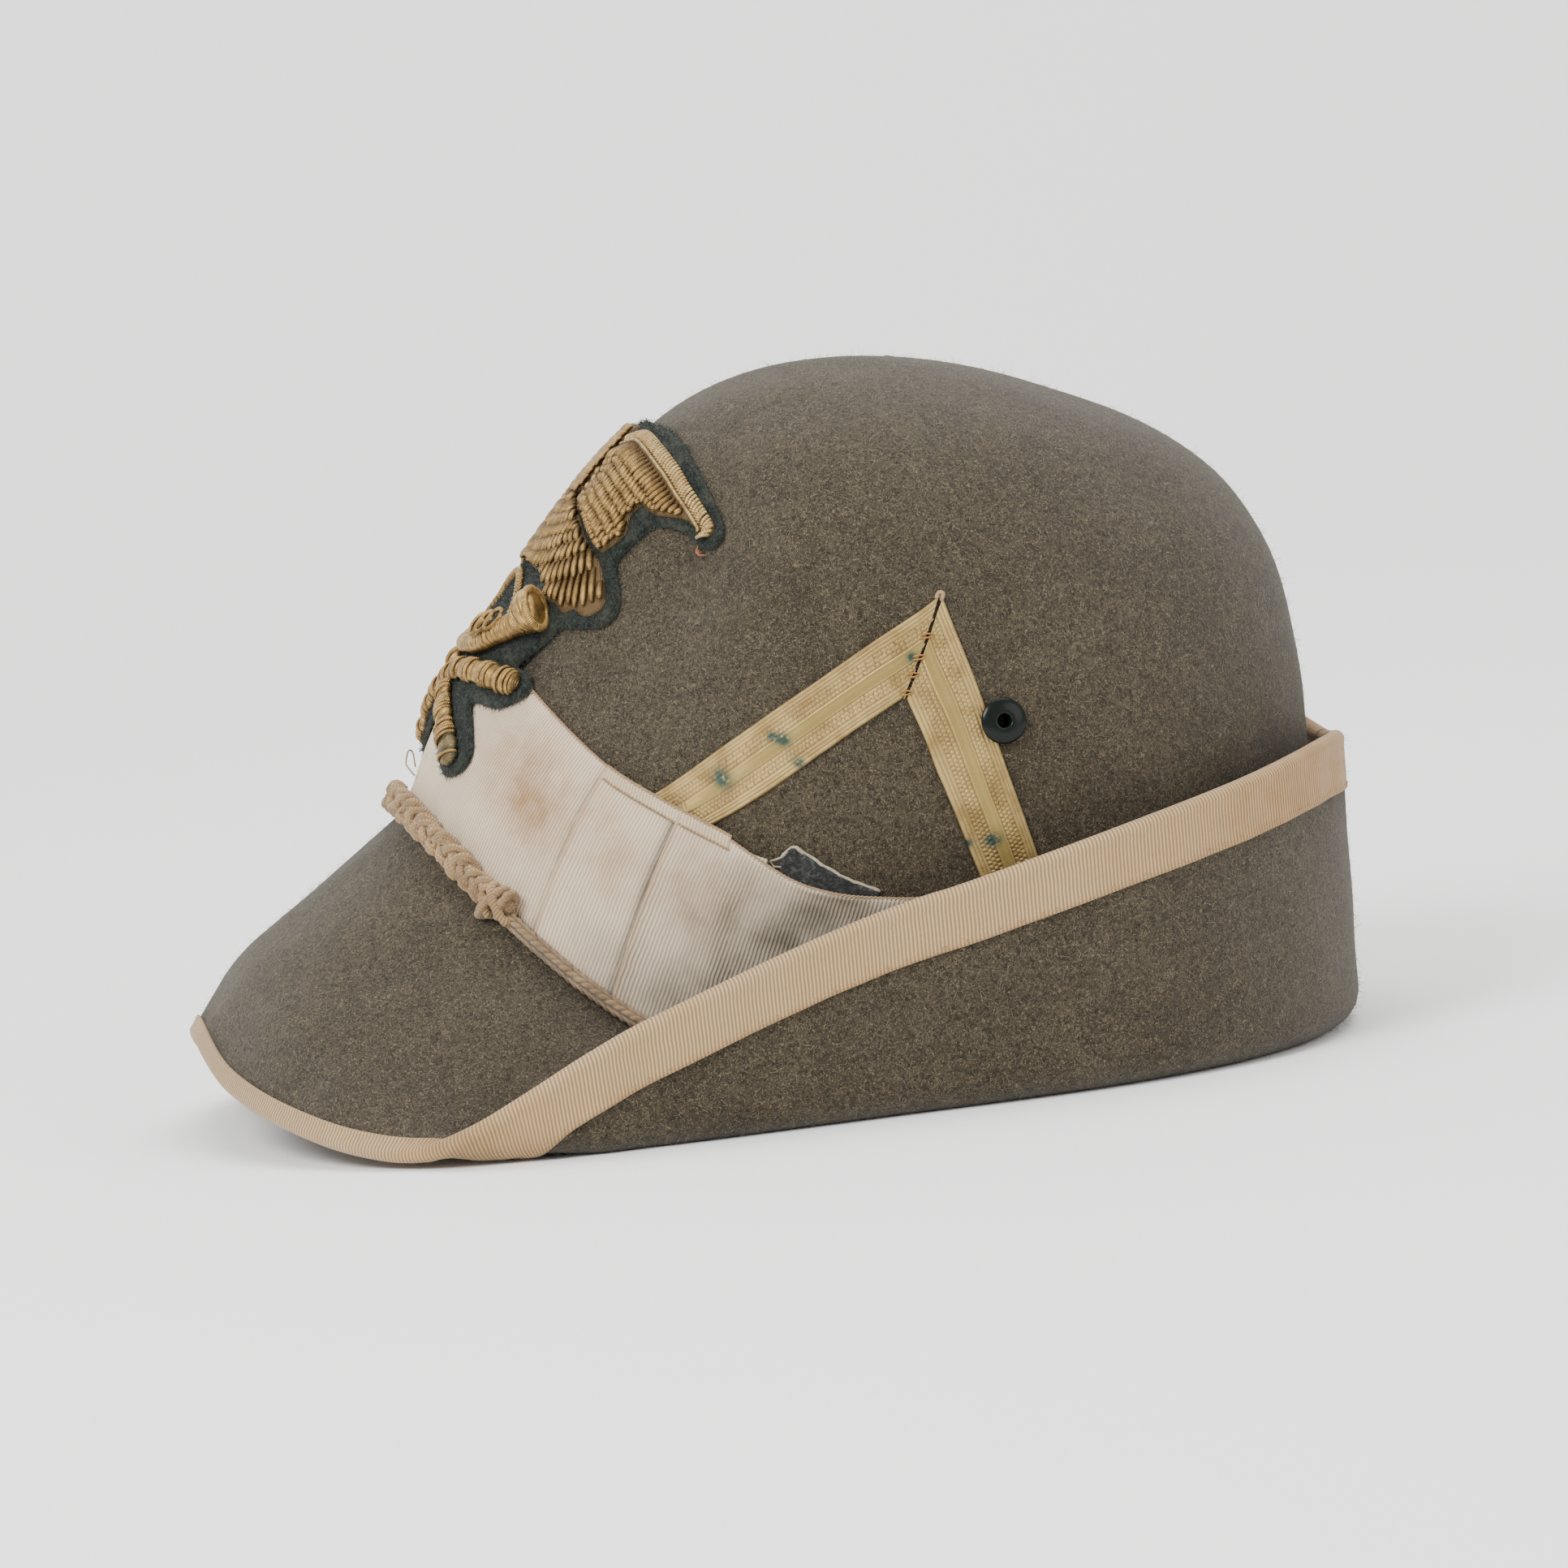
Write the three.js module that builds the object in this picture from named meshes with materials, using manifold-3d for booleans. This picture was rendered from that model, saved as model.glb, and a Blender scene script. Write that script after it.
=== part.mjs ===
// A mountain soldier's felt hat: one blocked felt with a turned-down peak and a turned-up brim,
// ribbed ribbon round the edge and the crown, a braided cord, a gold eagle badge and a lace chevron.
import * as THREE from "three";
import { mergeVertices } from "three/addons/utils/BufferGeometryUtils.js";
import Module from "manifold-3d";

// Millimetres. x runs from the front (-) to the back (+), y = 0 is the middle of the hat,
// the wearer's left is -y, and z is the height over the table that the hat stands on.
// Angles are degrees round the head line, from the front toward the wearer's left.

// Driving dimensions
const FELT = 2.5;
const FLAT_FOOT = 0.6;
const GAP = 0.3;
const ROUND_GAP = 0.45;
const HEAD_BEND = 5;
const FOLD_BEND = 5.5;
const BINDING = { thick: 0.7, under: 12, top: 4 };
const PEAK_CORNER = { round: 46, spread: 30, slack: 0.6 };
const RIBBON = 0.7;
const BAND_FOOT = 0.6;
const PLEAT = { thick: 0.6, foot: 3.2 };
const CORD = { radius: 2.15, sides: 8 };
const PLAIT = { wide: 3.5, deep: 2.9, ends: 29, steps: 18 };
const KNOT = { along: 4.6, wide: 4.6, deep: 3.6 };
const CLOTH = 1;
const PADDING = 2.2;
const LACE = 0.9;
const VENT = { radius: 5.3, neck: 2.6, barrel: 2.2, hole: 1.5, felt_hole: 2.7, rim: 3.6, round: 97.8, up: 76.4 };
const TAB = { thick: 1.4, from: 64, to: 88 };
const CHORD = 0.16;
const BOX_MIDDLE_X = -0.8;

// The crown, a row for each section from the head line to the top.
const CROWN = namedRows(
  ["frontX", "frontZ", "backX", "backZ", "wideX", "half", "sideZ", "bend", "square"],
  [
    [-81, 75.5, 123.5, 10, 26, 82, 9, 2.4, 2.25],
    [-76.5, 85, 126.5, 27, 27, 82.2, 29, 2.2, 2.25],
    [-71, 94.5, 129, 46, 28, 82, 48.5, 2, 2.2],
    [-63, 106, 130.5, 65, 30, 81, 67, 1.8, 2.15],
    [-54, 118, 130.5, 84.5, 32, 79, 86, 1.6, 2.1],
    [-44, 130, 128.5, 102, 34, 75.5, 104, 1.4, 2.05],
    [-33.5, 141.5, 124, 117.5, 36, 70, 120, 1.2, 2],
    [-23, 151, 115.5, 130.5, 37, 62.5, 134.5, 1, 2],
    [-11, 159, 102.5, 142.3, 38, 52.5, 147, 1, 2],
    [3.5, 164.5, 84.5, 151.8, 39, 39, 156.5, 1, 2],
    [20, 167, 63, 160.2, 40, 22, 163, 1, 2],
    [40, 166.3, 40, 166.3, 40, 0, 166.3, 1, 2],
  ],
);
const TOP = CROWN.length - 1;
const CROWN_RINGS = [1, 2, 3, 4, 5, 6, 7, 7.9, 8.8, 9.6, 10.3];

// The dent on each side of the front, where the crown is pinched.
const PINCH = { round: 40, spread: 16, row: 5, rows: 2.1, deep: 6.5 };

// The brim: how far out and how high its fold and its edge lie, all round the head line.
const BRIM = namedRows(
  ["round", "foldOut", "foldZ", "edgeOut", "edgeZ"],
  [
    [0, 46, 41, 58, 25],
    [12, 46, 36, 58, 16.5],
    [24, 47, 24, 57.5, 9.5],
    [32, 49, 14, 56.5, 5.6],
    [38, 49.5, 7, 54.5, 4.6],
    [44, 47, 3.9, 51.5, 8.2],
    [49, 42.6, 3.7, 47, 14.2],
    [55, 36.6, 2.2, 41, 22],
    [60, 31, 2.2, 35, 27.5],
    [75, 20, 2.2, 22, 39.5],
    [90, 14, 2.2, 16, 49],
    [110, 13, 2.2, 14.5, 58],
    [130, 13, 2.2, 13.5, 64],
    [150, 12, 2.2, 13, 68],
    [165, 11, 2.2, 12, 67.5],
    [180, 10.5, 2.2, 11.5, 65],
  ],
);
const FOLD_STARTS = { from: 38, to: 46 };

// How high the ribbon band reaches up the crown.
const BAND_TOP = namedRows(
  ["round", "up"],
  [
    [0, 39],
    [24, 41],
    [42, 43.5],
    [53, 46.5],
    [63, 47.5],
    [75, 43.6],
    [90, 38.5],
    [110, 37],
    [145, 38],
    [180, 40],
  ],
);

// Stations round the hat, closer together at the two corners of the peak.
const STATION_STEPS = [
  { to: 24, steps: 4 },
  { to: 48, steps: 6 },
  { to: 66, steps: 3 },
  { to: 180, steps: 14 },
];

// Outlines on the badge: [across from the middle of the front, up], the wearer's left is positive.
const CLOTH_OUTLINE = [
  [0, 102],
  [12, 103],
  [25, 100.8],
  [38.2, 94],
  [49.5, 87.2],
  [55.2, 83.4],
  [57.7, 80.2],
  [56.3, 77.3],
  [51.7, 76.9],
  [46.8, 78.7],
  [38.9, 77.8],
  [36.5, 72.5],
  [36.2, 66.9],
  [41.5, 61.7],
  [44.8, 57.1],
  [44, 53.2],
  [39.1, 51.2],
  [34, 49.5],
  [32.3, 45.6],
  [30.7, 41.4],
  [29.7, 38],
  [34.7, 37.5],
  [37.6, 34.4],
  [34.5, 30.3],
  [29.7, 27.5],
  [20.7, 25.6],
  [25.7, 21.4],
  [30.2, 17.1],
  [29.6, 13],
  [24.7, 9.3],
  [19.5, 9.8],
  [10, 15.5],
  [0, 19.5],
];
const WING_OUTLINE = [
  [5.6, 81.6],
  [5.6, 97.5],
  [12, 99.8],
  [21.2, 98.2],
  [32.7, 93.8],
  [42, 88.8],
  [50, 84.7],
  [54, 82.6],
  [55, 79.8],
  [51.6, 79.8],
  [45.4, 81.3],
  [37.4, 80.4],
  [32.4, 81.7],
  [31.6, 78.2],
  [33.8, 74],
  [32, 69.3],
  [29.6, 68.6],
];
const TAIL_OUTLINE = [
  [0, 79.4],
  [4, 79.4],
  [30, 67.4],
  [33.2, 65.6],
  [37.8, 61.7],
  [41.4, 57.5],
  [40.9, 55],
  [38.5, 53.5],
  [34.8, 54.2],
  [32.8, 52.6],
  [28.9, 53.8],
  [24.7, 54],
  [18, 58.5],
  [8, 59.5],
  [0, 60.5],
];
const BODY_OUTLINE = [
  [4.2, 80.2],
  [5, 86],
  [3.6, 92],
  [4.2, 96],
  [1.5, 100],
  [-3, 101],
  [-5.2, 98.6],
  [-4.4, 96.6],
  [-3.8, 92],
  [-5, 86],
  [-4.2, 80.2],
];

// Bars on the badge: points [across, up, radius] from end to end.
const BARREL_OVER = [
  [34.5, 34.6, 2.6],
  [30, 33.9, 3],
  [18, 32.2, 2.7],
  [3, 29.6, 2.4],
  [-9, 24.4, 2.5],
  [-22, 15.8, 2.9],
  [-25.6, 13.2, 2.6],
];
const BARREL_LEFT = [
  [2.2, 25, 2.3],
  [9, 22.2, 2.5],
  [22, 15.8, 2.9],
  [25.6, 13.2, 2.6],
];
const BARREL_RIGHT = [
  [-34.5, 34.6, 2.6],
  [-30, 33.9, 3],
  [-18, 32.2, 2.7],
  [-5.5, 31.3, 2.3],
];
const HORN = [
  [-25.5, 49, 1.4],
  [-22, 42.5, 1.4],
  [-12, 37, 1.7],
  [0, 36, 2],
  [13, 38, 2.4],
  [21, 43.2, 3],
  [24.6, 46.4, 3.4],
  [28, 49.6, 5.6],
  [29, 50.6, 5.6],
];
const HORN_SLING = [
  [-17, 43.6, 1],
  [-10.5, 53, 1],
  [0, 57, 1],
  [10.5, 53, 1],
  [17, 45.8, 1],
];

// The lace chevron on the wearer's left: [round, up] of its corners and of points along its edges.
const LACE_FRONT = [
  [90.3, 107],
  [79.2, 97.5],
  [69.3, 84],
  [60.2, 67.3],
  [51.9, 48.6],
  [61.2, 49.4],
  [67.1, 60],
  [72.9, 69.9],
  [78.9, 78.3],
  [85.1, 84.9],
];
const LACE_BACK = [
  [91.2, 106.4],
  [85.9, 84.4],
  [89.1, 70.5],
  [91.8, 55.7],
  [94.8, 39.6],
  [102.4, 39.6],
  [101.6, 44.6],
  [98.1, 65.2],
  [94.8, 85.7],
];

// The pleats and the leather tab: [round, up] of their corners.
const PLEAT_FRONT = [
  [38.6, PLEAT.foot],
  [61.6, PLEAT.foot],
  [63.7, 47.2],
  [53, 46.3],
  [42.8, 43.4],
];
const PLEAT_BACK = [
  [51.3, PLEAT.foot],
  [68, PLEAT.foot],
  [69, 45.6],
  [63.7, 47],
  [55.8, 46.6],
];
const TAB_OUTLINE = [
  [70.6, 24],
  [83.4, 24],
  [83.4, 40.6],
  [79, 43.6],
  [72.2, 49.4],
  [70.6, 45],
];

// Colours and finishes, as they look today
const FELT_GREY_GREEN = { color: 0x5a5346, roughness: 0.96, metalness: 0 };
const RIBBON_TAN = { color: 0xc4a684, roughness: 0.7, metalness: 0 };
const BAND_SILK = { color: 0xb9a48d, roughness: 0.62, metalness: 0 };
const CORD_TAN = { color: 0xa58c6e, roughness: 0.85, metalness: 0 };
const GOLD_THREAD = { color: 0xb4965f, roughness: 0.42, metalness: 0.75 };
const GOLD_LACE = { color: 0xbfa468, roughness: 0.38, metalness: 0.7 };
const GREEN_CLOTH = { color: 0x41554e, roughness: 0.95, metalness: 0 };
const GREEN_PAINT = { color: 0x1f3a33, roughness: 0.25, metalness: 0.2 };
const DARK_LEATHER = { color: 0x2b3136, roughness: 0.55, metalness: 0 };

function namedRows(columns, rows) {
  return rows.map((row) => Object.fromEntries(columns.map((name, i) => [name, row[i]])));
}

function radians(degrees) {
  return THREE.MathUtils.degToRad(degrees);
}

// The same angle as a turn from the front, 0 to 180, alike on both sides.
function fromFront(round) {
  return Math.abs(((((round + 180) % 360) + 360) % 360) - 180);
}

function powerKeepingSign(value, exponent) {
  return Math.sign(value) * Math.abs(value) ** exponent;
}

// A value of the crown's table between its rows, smooth through the top.
function crownRow(v) {
  const at = Math.min(Math.max(v, 0), TOP);
  const i = Math.min(Math.floor(at), TOP - 1);
  const t = at - i;
  const first = CROWN[0];
  const second = CROWN[1];
  const last = CROWN[TOP - 1];
  const below = {};
  for (const name of Object.keys(first)) below[name] = 2 * first[name] - second[name];
  const beyond = {
    ...last,
    frontX: last.backX,
    frontZ: last.backZ,
    backX: last.frontX,
    backZ: last.frontZ,
    half: -last.half,
  };
  const rows = [below, ...CROWN, beyond];
  const out = {};
  for (const name of Object.keys(first)) {
    const [a, b, c, d] = [rows[i][name], rows[i + 1][name], rows[i + 2][name], rows[i + 3][name]];
    const square = (2 * a - 5 * b + 4 * c - d) * t * t;
    const cube = (3 * b - a - 3 * c + d) * t * t * t;
    out[name] = 0.5 * (2 * b + (c - a) * t + square + cube);
  }
  return out;
}

// A point of the crown's outer face.
function crownPoint(round, v) {
  const row = crownRow(v);
  const c = Math.cos(radians(round));
  const s = Math.sin(radians(round));
  const lean = (row.frontZ - row.backZ) / 2;
  const sag = (row.frontZ + row.backZ) / 2 - row.sideZ;
  const sagPower = 2 + (0.4 * (row.bend - 1)) / 1.4;
  const z = row.sideZ + lean * powerKeepingSign(c, row.bend) + sag * Math.abs(c) ** sagPower;
  const along = powerKeepingSign(c, 2 / row.square);
  const across = powerKeepingSign(s, 2 / row.square);
  const half = c > 0 ? row.wideX - row.frontX : row.backX - row.wideX;
  const point = new THREE.Vector3(row.wideX - half * along, -row.half * across, z);
  const roundAway = (fromFront(round) - PINCH.round) / PINCH.spread;
  const rowAway = (v - PINCH.row) / PINCH.rows;
  const dent = PINCH.deep * Math.exp(-roundAway * roundAway - rowAway * rowAway);
  const axis = new THREE.Vector3(row.wideX, 0, z);
  const inward = axis.sub(point).normalize();
  return point.addScaledVector(inward, dent);
}

// A table's values between its stations, smooth all the way round.
function around(table, round) {
  const at = fromFront(round);
  const n = table.length;
  const mirrored = (k) => {
    if (k < 0) return { ...table[-k], round: -table[-k].round };
    if (k >= n) return { ...table[2 * (n - 1) - k], round: 360 - table[2 * (n - 1) - k].round };
    return table[k];
  };
  let i = 0;
  while (i < n - 2 && at >= table[i + 1].round) i += 1;
  const [a, b, c, d] = [mirrored(i - 1), mirrored(i), mirrored(i + 1), mirrored(i + 2)];
  const span = c.round - b.round;
  const t = (at - b.round) / span;
  const out = {};
  for (const name of Object.keys(b)) {
    const leaving = ((c[name] - a[name]) / (c.round - a.round)) * span;
    const reaching = ((d[name] - b[name]) / (d.round - b.round)) * span;
    out[name] =
      (2 * t ** 3 - 3 * t ** 2 + 1) * b[name] +
      (t ** 3 - 2 * t ** 2 + t) * leaving +
      (3 * t ** 2 - 2 * t ** 3) * c[name] +
      (t ** 3 - t ** 2) * reaching;
  }
  return out;
}

// The level direction that the brim runs out in.
function outward(round) {
  const c = Math.cos(radians(round));
  const s = Math.sin(radians(round));
  const foot = CROWN[0];
  const half = c > 0 ? foot.wideX - foot.frontX : foot.backX - foot.wideX;
  return new THREE.Vector3(-c / half, -s / foot.half, 0).normalize();
}

// The corner of a bent line, rounded: points on the arc that takes the corner's place.
function roundedCorner(before, corner, after, radius) {
  const u = before.clone().sub(corner);
  const w = after.clone().sub(corner);
  const room = 0.85 * Math.min(u.length(), w.length());
  u.normalize();
  w.normalize();
  const inside = Math.acos(THREE.MathUtils.clamp(u.dot(w), -1, 1));
  const turn = Math.PI - inside;
  if (turn < 0.02) return [corner];
  const cut = Math.min(radius * Math.tan(turn / 2), room);
  const bend = cut / Math.tan(turn / 2);
  const middle = u.clone().add(w).normalize().multiplyScalar(bend / Math.sin(inside / 2)).add(corner);
  const start = u.clone().multiplyScalar(cut).add(corner).sub(middle);
  const end = w.clone().multiplyScalar(cut).add(corner).sub(middle);
  let sweep = Math.atan2(end.y, end.x) - Math.atan2(start.y, start.x);
  if (sweep > Math.PI) sweep -= 2 * Math.PI;
  if (sweep < -Math.PI) sweep += 2 * Math.PI;
  const pieces = 10;
  const points = [];
  for (let k = 0; k <= pieces; k += 1) {
    const angle = (sweep * k) / pieces;
    points.push(start.clone().rotateAround(new THREE.Vector2(), angle).add(middle));
  }
  return points;
}

// The brim's upper face at one angle, a line from the head line over the fold to the edge,
// as points [out, height] with their distance along the felt.
const profiles = new Map();
function brimProfile(round) {
  const key = fromFront(round);
  if (profiles.has(key)) return profiles.get(key);
  const station = around(BRIM, round);
  const head = crownPoint(key, 0);
  const above = crownPoint(key, 0.35).sub(head);
  const out = outward(key);
  const rise = new THREE.Vector2(above.dot(out), above.z).normalize();
  const start = new THREE.Vector2(0, head.z);
  const foot = start.clone().addScaledVector(rise, -0.8 * HEAD_BEND);
  const edge = new THREE.Vector2(station.edgeOut, station.edgeZ);
  const folded = THREE.MathUtils.smoothstep(key, FOLD_STARTS.from, FOLD_STARTS.to);
  const fold = new THREE.Vector2(station.foldOut, station.foldZ);
  let bend = [];
  let line = [];
  for (let pass = 0; pass < 4; pass += 1) {
    const first = roundedCorner(start, foot, fold, HEAD_BEND);
    bend = roundedCorner(first.at(-1), fold, edge, FOLD_BEND);
    line = [start, ...first, ...bend, edge];
    const lowest = Math.min(...bend.map((p) => p.y));
    fold.y += folded * (station.foldZ - lowest);
  }
  const along = [0];
  for (let k = 1; k < line.length; k += 1) along.push(along[k - 1] + line[k].distanceTo(line[k - 1]));
  const middle = line.indexOf(bend[Math.floor(bend.length / 2)]);
  const profile = { line, along, length: along.at(-1), fold: along[middle] };
  profiles.set(key, profile);
  return profile;
}

// A point of the brim's upper face, so many millimetres out along the felt from the head line.
function brimPoint(round, distance) {
  const { line, along, length } = brimProfile(round);
  const s = Math.min(Math.max(distance, 0), length);
  let k = 1;
  while (k < along.length - 1 && along[k] < s) k += 1;
  const t = (s - along[k - 1]) / (along[k] - along[k - 1] || 1);
  const p = line[k - 1].clone().lerp(line[k], t);
  const point = crownPoint(round, 0).addScaledVector(outward(round), p.x);
  point.z = Math.max(p.y, FELT);
  return point;
}

// The felt's face: place > 0 is a section of the crown, place < 0 is millimetres out on the brim.
function feltPoint(round, place) {
  return place >= 0 ? crownPoint(round, place) : brimPoint(round, -place);
}

// The felt's outward direction there, away from the head.
function feltNormal(round, place) {
  const turn = 0.6;
  const higher = place >= 0 ? Math.min(place + 0.05, TOP) : place + 1;
  const lower = place > 0.05 ? place - 0.05 : place > 0 ? -0.5 : place - 1;
  const alongRim = feltPoint(round + turn, place).sub(feltPoint(round - turn, place));
  const upCrown = feltPoint(round, higher).sub(feltPoint(round, lower));
  return alongRim.cross(upCrown).normalize();
}

// The same face, moved off by a distance.
function offFelt(round, place, off) {
  return feltPoint(round, place).addScaledVector(feltNormal(round, place), off);
}

// The section of the crown that lies so many millimetres up from the head line.
function sectionAt(round, up) {
  const step = 0.05;
  let v = 0;
  let walked = 0;
  let here = crownPoint(round, 0);
  while (v < TOP) {
    const next = crownPoint(round, v + step);
    const length = next.distanceTo(here);
    if (walked + length >= up) return v + (step * (up - walked)) / length;
    walked += length;
    here = next;
    v += step;
  }
  return TOP;
}

// The angle that lies so many millimetres round from the front, at one section of the crown.
function angleAt(v, across) {
  const step = 1;
  const side = Math.sign(across) || 1;
  let round = 0;
  let walked = 0;
  let here = crownPoint(0, v);
  for (;;) {
    const next = crownPoint(side * (round + step), v);
    const length = next.distanceTo(here);
    if (walked + length >= Math.abs(across)) {
      return side * (round + (step * (Math.abs(across) - walked)) / length);
    }
    walked += length;
    here = next;
    round += step;
  }
}

function stationsAround() {
  const half = [0];
  for (const { to, steps } of STATION_STEPS) {
    const from = half.at(-1);
    for (let k = 1; k <= steps; k += 1) half.push(from + ((to - from) * k) / steps);
  }
  const other = half.slice(1, -1).reverse();
  return [...half, ...other.map((round) => 360 - round)];
}
const STATIONS = stationsAround();

// Where the rings of the brim lie, in millimetres from the head line: close together at the fold
// and under the binding.
function brimRings(round) {
  const { length, fold } = brimProfile(round);
  const bound = length - BINDING.under;
  const middle = Math.min(fold, bound - 6.5);
  const bend = 5.2;
  const near = Math.max(middle - 5, bend + 0.9);
  return [
    bend / 2,
    bend,
    bend + (near - bend) / 3,
    bend + (2 * (near - bend)) / 3,
    near,
    middle - 1.9,
    middle + 1.9,
    middle + 5,
    bound,
    bound + BINDING.under / 3,
    bound + (2 * BINDING.under) / 3,
    length,
  ];
}

function geometryOf(points, faces) {
  const geometry = new THREE.BufferGeometry();
  geometry.setAttribute("position", new THREE.Float32BufferAttribute(points.flatMap((p) => p.toArray()), 3));
  geometry.setIndex(faces.flat());
  return facingOut(geometry);
}

// Turns every face over where the closed body came out inside out.
function facingOut(geometry) {
  const position = geometry.getAttribute("position");
  const index = geometry.getIndex();
  const [a, b, c] = [new THREE.Vector3(), new THREE.Vector3(), new THREE.Vector3()];
  let volume = 0;
  for (let i = 0; i < index.count; i += 3) {
    a.fromBufferAttribute(position, index.getX(i));
    b.fromBufferAttribute(position, index.getX(i + 1));
    c.fromBufferAttribute(position, index.getX(i + 2));
    volume += a.dot(b.clone().cross(c));
  }
  if (volume < 0) {
    for (let i = 0; i < index.count; i += 3) {
      const kept = index.getX(i + 1);
      index.setX(i + 1, index.getX(i + 2));
      index.setX(i + 2, kept);
    }
  }
  geometry.computeVertexNormals();
  return geometry;
}

// Quads between two closed rings of points that are numbered from a and from b. Each is cut in
// two along one diagonal, or along the other where turned(j) says so.
function bandBetween(a, b, count, turned = () => false) {
  const faces = [];
  for (let j = 0; j < count; j += 1) {
    const k = (j + 1) % count;
    if (turned(j)) faces.push([a + j, b + j, a + k], [a + k, b + j, b + k]);
    else faces.push([a + j, b + j, b + k], [a + j, b + k, a + k]);
  }
  return faces;
}

// Whether a station is on the wearer's left, where the diagonals mirror those on the right.
function onLeft(station) {
  return station < STATIONS.length / 2;
}

// A body between sections of equal count: closed round when they meet end to end, capped when not.
// Round the hat the diagonals follow the felt's, also where a section's points run upward.
function sweptBody(sections, closed, runsUp = () => false) {
  const count = sections[0].length;
  const points = sections.flat();
  const faces = [];
  const last = closed ? sections.length : sections.length - 1;
  for (let i = 0; i < last; i += 1) {
    const turned = (j) => closed && onLeft(i) !== runsUp(j);
    faces.push(...bandBetween(i * count, ((i + 1) % sections.length) * count, count, turned));
  }
  if (!closed) {
    const end = (sections.length - 1) * count;
    for (let j = 1; j < count - 1; j += 1) {
      faces.push([0, j, j + 1], [end, end + j + 1, end + j]);
    }
  }
  return geometryOf(points, faces);
}

// Splits the sides of flat triangles until each lies close enough to the crown's round face.
function refined(corners, triangles, place, slack) {
  const points = [...corners];
  const solid = points.map((p) => place(p, 0));
  const chord = new THREE.Line3();
  const foot = new THREE.Vector3();
  let faces = evened(corners, triangles);
  for (let pass = 0; pass < 6; pass += 1) {
    const middles = new Map();
    const middleOf = (i, j) => {
      const key = i < j ? `${i},${j}` : `${j},${i}`;
      if (middles.has(key)) return middles.get(key);
      const flat = points[i].clone().lerp(points[j], 0.5);
      const middle = place(flat, 0);
      chord.set(solid[i], solid[j]).closestPointToPoint(middle, true, foot);
      middles.set(key, foot.distanceTo(middle) > slack ? points.length : -1);
      if (middles.get(key) >= 0) {
        points.push(flat);
        solid.push(middle);
      }
      return middles.get(key);
    };
    const next = [];
    for (const [a, b, c] of faces) {
      const cut = [middleOf(a, b), middleOf(b, c), middleOf(c, a)];
      next.push(...splitTriangle([a, b, c], cut));
    }
    if (next.length === faces.length) break;
    faces = next;
  }
  return { points, faces };
}

// Turns the shared side of two triangles where that makes both less thin.
function evened(points, triangles) {
  const faces = triangles.map((face) => [...face]);
  const angleIn = (a, b, c) => {
    const u = points[a].clone().sub(points[b]);
    const w = points[c].clone().sub(points[b]);
    return Math.abs(Math.atan2(u.cross(w), u.dot(w)));
  };
  for (let pass = 0; pass < 10; pass += 1) {
    const owner = new Map();
    faces.forEach((face, f) => face.forEach((a, k) => owner.set(`${a},${face[(k + 1) % 3]}`, f)));
    const changed = new Set();
    faces.forEach((face, f) => {
      for (let k = 0; k < 3 && !changed.has(f); k += 1) {
        const [a, b, c] = [face[k], face[(k + 1) % 3], face[(k + 2) % 3]];
        const g = owner.get(`${b},${a}`);
        if (g === undefined || changed.has(g)) continue;
        const d = faces[g].find((p) => p !== a && p !== b);
        if (angleIn(a, c, b) + angleIn(b, d, a) <= Math.PI + 1e-6) continue;
        faces[f] = [a, d, c];
        faces[g] = [d, b, c];
        changed.add(f).add(g);
      }
    });
    if (!changed.size) break;
  }
  return faces;
}

// One triangle cut at the middles of its sides a-b, b-c and c-a, where -1 is a side left whole.
function splitTriangle([a, b, c], [ab, bc, ca]) {
  if (ab < 0 && bc < 0 && ca < 0) return [[a, b, c]];
  if (ab < 0) return splitTriangle([b, c, a], [bc, ca, ab]);
  if (bc >= 0 && ca >= 0) return [[a, ab, ca], [ab, b, bc], [ca, bc, c], [ab, bc, ca]];
  if (bc >= 0) return [[ab, b, bc], [a, ab, bc], [a, bc, c]];
  if (ca >= 0) return [[a, ab, ca], [ab, b, c], [ab, c, ca]];
  return [[a, ab, c], [ab, b, c]];
}

// A flat piece of even thickness laid on the crown: place(p, off) gives the point over the felt.
function laidPiece(outline, thick, place, slack = CHORD) {
  const corners = outline.map(([a, b]) => new THREE.Vector2(a, b));
  if (THREE.ShapeUtils.isClockWise(corners)) corners.reverse();
  const { points, faces } = refined(corners, THREE.ShapeUtils.triangulateShape(corners, []), place, slack);
  const count = points.length;
  const solid = [...points.map((p) => place(p, 0)), ...points.map((p) => place(p, thick))];
  const sides = new Map();
  for (const [a, b, c] of faces) {
    for (const [i, j] of [[a, b], [b, c], [c, a]]) {
      if (!sides.delete(`${j},${i}`)) sides.set(`${i},${j}`, [i, j]);
    }
  }
  const all = [];
  for (const [a, b, c] of faces) all.push([a, c, b], [count + a, count + b, count + c]);
  for (const [i, j] of sides.values()) all.push([i, j, count + j], [i, count + j, count + i]);
  return geometryOf(solid, all);
}

// Puts a piece's points at [round, up] on the crown, so far off the felt.
function byAngle(base) {
  return (p, off) => offFelt(p.x, sectionAt(p.x, p.y), base(p.x, p.y) + off);
}

// The lift that carries the badge over the band, and lets it down on the felt above.
function liftOverBand(round, up) {
  const clear = (up - around(BAND_TOP, round).up - 3) / 8;
  return (RIBBON + ROUND_GAP) * (1 - THREE.MathUtils.clamp(clear, 0, 1));
}

// Puts a badge piece's points at [across, up] on the crown.
function onBadge(base) {
  return (p, off) => {
    const v = sectionAt(0, p.y);
    const round = angleAt(v, p.x);
    const lift = liftOverBand(round, upAt(round, v));
    return offFelt(round, v, ROUND_GAP + lift + base + off);
  };
}

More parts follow.
